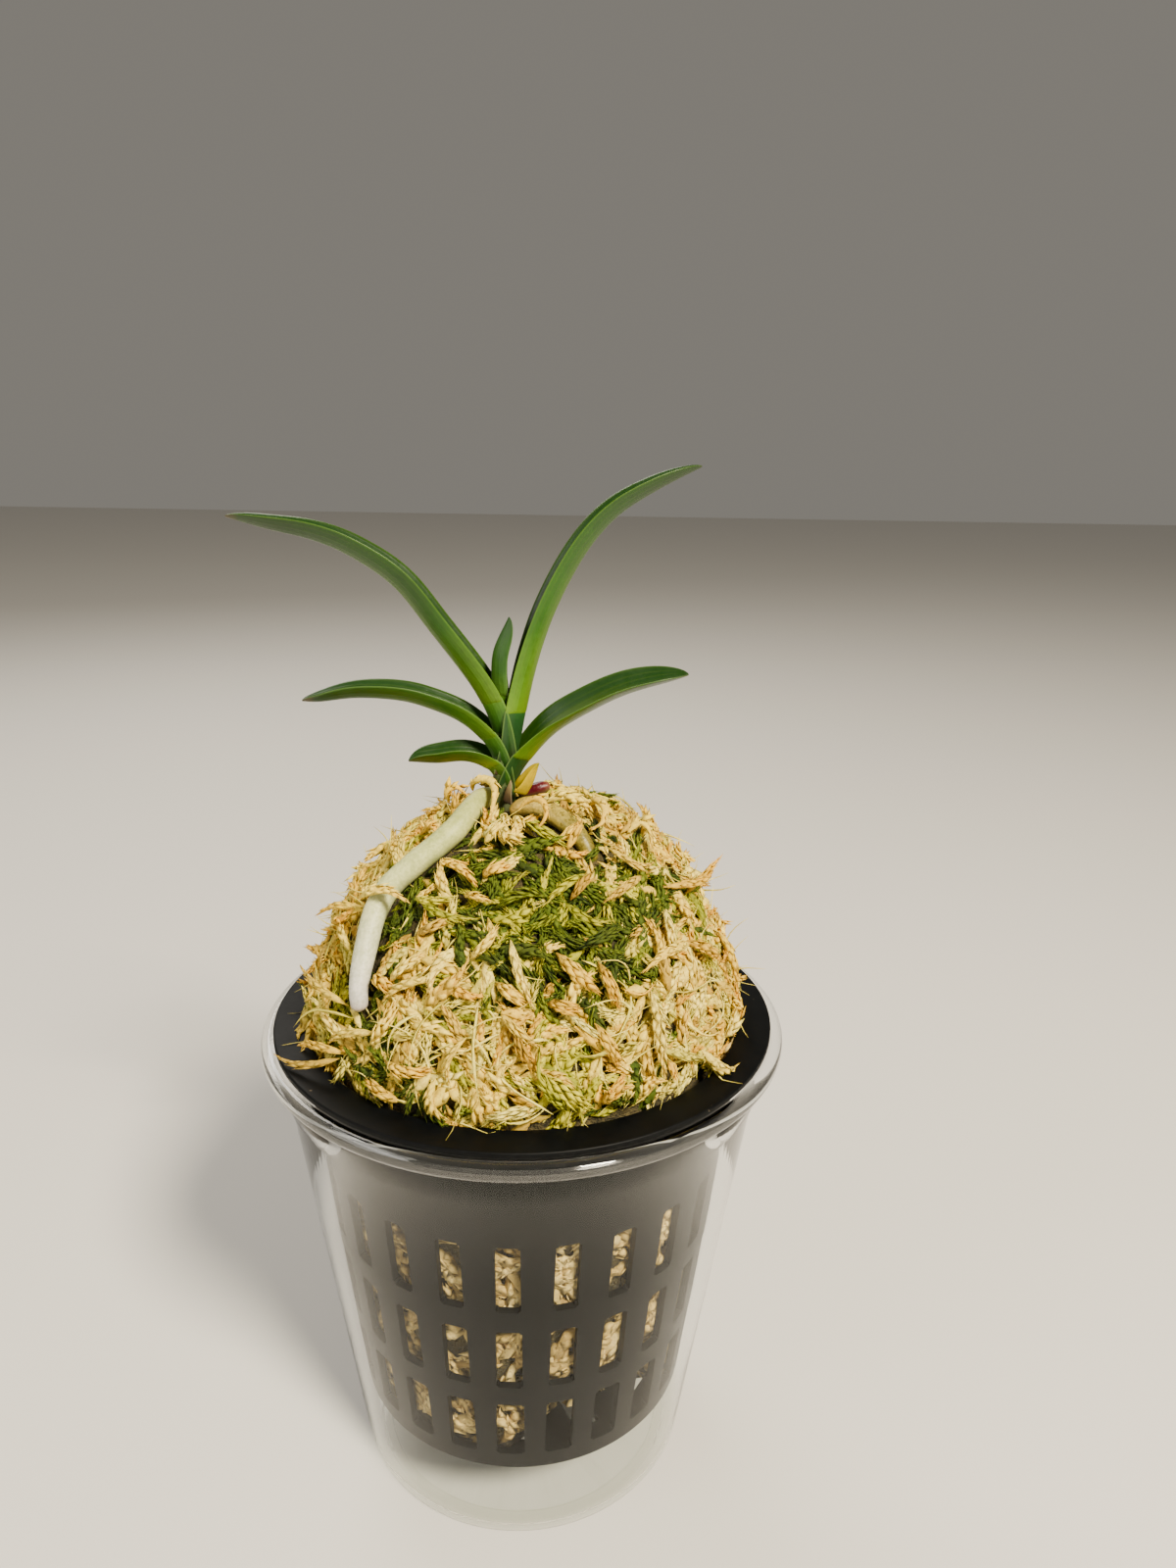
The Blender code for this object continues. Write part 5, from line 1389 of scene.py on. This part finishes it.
# curled and looped strands: finish, kind, width and the way they run
curls = [
    ("cream", "curl", 1.7, [
        (-9.2, 0.6, 132.4), (-9.2, 0.0, 133.8), (-8.0, -1.0, 135.0),
        (-6.4, -2.0, 135.2), (-5.4, -4.2, 134.9), (-5.2, -6.8, 134.0), (-5.5, -9.2, 132.6),
        (-6.2, -11.0, 130.6)]),
    ("tan", "curl", 1.4, [
        (-13.4, 0.8, 130.0), (-13.6, 0.6, 132.2), (-12.0, 0.0, 133.2),
        (-10.6, -1.5, 132.6), (-9.9, -2.6, 132.6)]),
    ("tan", "curl", 1.3, [
        (-1.2, -10.1, 132.2), (-0.1, -10.3, 133.8), (1.6, -11.2, 134.8),
        (3.0, -13.2, 134.6), (3.3, -14.7, 133.1), (2.3, -14.9, 131.3), (1.0, -13.7, 130.2)]),
    ("cream", "comma", 1.9, [
        (-3.9, -11.9, 130.4), (-3.6, -14.4, 130.6), (-2.6, -16.7, 130.2),
        (-1.4, -16.2, 130.6), (-0.5, -13.2, 131.6)]),
    ("cream", "comma", 1.7, [
        (-2.0, -9.6, 131.0), (-1.2, -13.2, 131.6), (-1.9, -15.8, 130.9),
        (-2.9, -16.9, 129.4)]),
    ("tan", "comma", 1.6, [(6.8, -16.2, 127.8), (8.0, -14.8, 129.9), (8.8, -12.8, 131.2)]),
    ("cream", "cone", 2.4, [
        (3.0, -8.4, 132.9), (5.2, -7.6, 133.9), (7.8, -7.2, 133.6), (10.0, -7.4, 132.4),
        (11.0, -8.4, 130.4)]),
    ("cream", "curl", 1.7, [
        (10.7, -4.9, 131.4), (12.2, -6.3, 132.9), (13.4, -9.0, 132.2),
        (12.6, -11.6, 130.6), (10.4, -11.6, 129.6)]),
    ("cream", "comma", 1.6, [(-6.6, -15.0, 128.4), (-5.1, -14.3, 130.2), (-3.7, -13.8, 130.8)]),
    ("cream", "curl", 1.4, [
        (17.3, -8.0, 127.6), (19.3, -7.3, 129.4), (21.0, -8.3, 128.2),
        (21.4, -9.8, 125.6)]),
    ("tan", "comma", 1.5, [(-17.9, -6.0, 126.6), (-15.8, -8.6, 129.0), (-13.9, -12.2, 128.4)]),
    ("cream", "plump", 1.7, [
        (-27.0, -16.4, 119.4), (-24.6, -18.4, 121.6), (-21.8, -19.9, 122.2),
        (-18.2, -22.6, 121.2)]),
]


def placedRoute(bearing, height, heading, length, tilt, bow):
    # the route of a strand that lies on the heap, arched and bowed to one side, and the way out of the heap
    turn, heading, tilt = math.radians(bearing), math.radians(heading), math.radians(tilt)
    middle, outward = heapAt(turn, height * mm)
    around = Vector((-math.sin(turn), math.cos(turn), 0.0))
    uphill = outward.cross(around)
    way = uphill * math.cos(heading) + around * math.sin(heading)
    way = way * math.cos(tilt) + outward * math.sin(tilt)
    reach = way * length * mm
    middle += outward * 0.9 * mm + outward * max(0.0, reach.dot(outward)) * 0.5
    start, end = middle - reach / 2 - reach * 0.15, middle + reach / 2 + reach * 0.1
    beside = way.cross(outward)
    route = [start - outward * 0.5 * mm]
    for t in (0.25, 0.5, 0.75):
        arch = math.sin(math.pi * t)
        raised = start.lerp(end, t) + outward * (reach.length * 0.1) * arch
        route.append(raised + beside * bow * reach.length * arch)
    return route + [end], outward


def makeOwnStrands(finishes):
    dice = random.Random(growth["ownSeed"])
    parts = {}

    def addStrand(finish, kind, width, route, outward):
        shape = strandMesh(route, width / 2 * mm, strandSpecs[kind], dice, outward)
        parts.setdefault(finish, []).append((shape, dice.random()))

    for (finish, kind), rows in ownStrands.items():
        for bearing, height, heading, length, tilt, width, bow in rows:
            addStrand(finish, kind, width, *placedRoute(bearing, height, heading, length, tilt, bow))
    for finish, kind, width, points in curls:
        route = [Vector(point) * mm for point in points]
        middle = route[len(route) // 2]
        addStrand(finish, kind, width, route, heapAt(math.atan2(middle.y, middle.x), middle.z)[1])
    for finish, group in parts.items():
        piece = keepOnFlange(strandPiece("own" + finish.capitalize(), group))
        finishPiece(piece, finishes[finish], mossSlot(finish))


def makePackedMoss(finish, tree, names):
    # the moss pressed against the inside of the net pot, seen through its slots
    rings, around = packing["coverRings"], packing["coverAround"]
    verts = []
    for level in np.linspace(packing["coverLow"], packing["coverHigh"], rings):
        for k in range(around):
            turn = fullTurn * k / around
            radius = potSide(level) - netPot["wall"] - packing["coverClear"] - hollowDepth(turn, level)
            verts.append((radius * math.cos(turn), radius * math.sin(turn), level))
    emitter = newPiece("packGuide", inMetres(verts), ringFaces(rings, around))
    kit = strandKit("kitPressed", packing["kitSize"], ["pressed"], packing["kitSeed"])
    piece = scatter("mossPacked", emitter, np.ones(len(verts)), kit, finish, tree, names, packing["strands"])
    removeKit(kit)
    bpy.data.objects.remove(emitter, do_unlink=True)
    keepInPot(piece)
    finishPiece(piece, finish, "dry_moss")


makeCamera()
makeStudio()
makeCup()
makeNetPot()
makeLeaves()
makeRoots()
makeMoss()
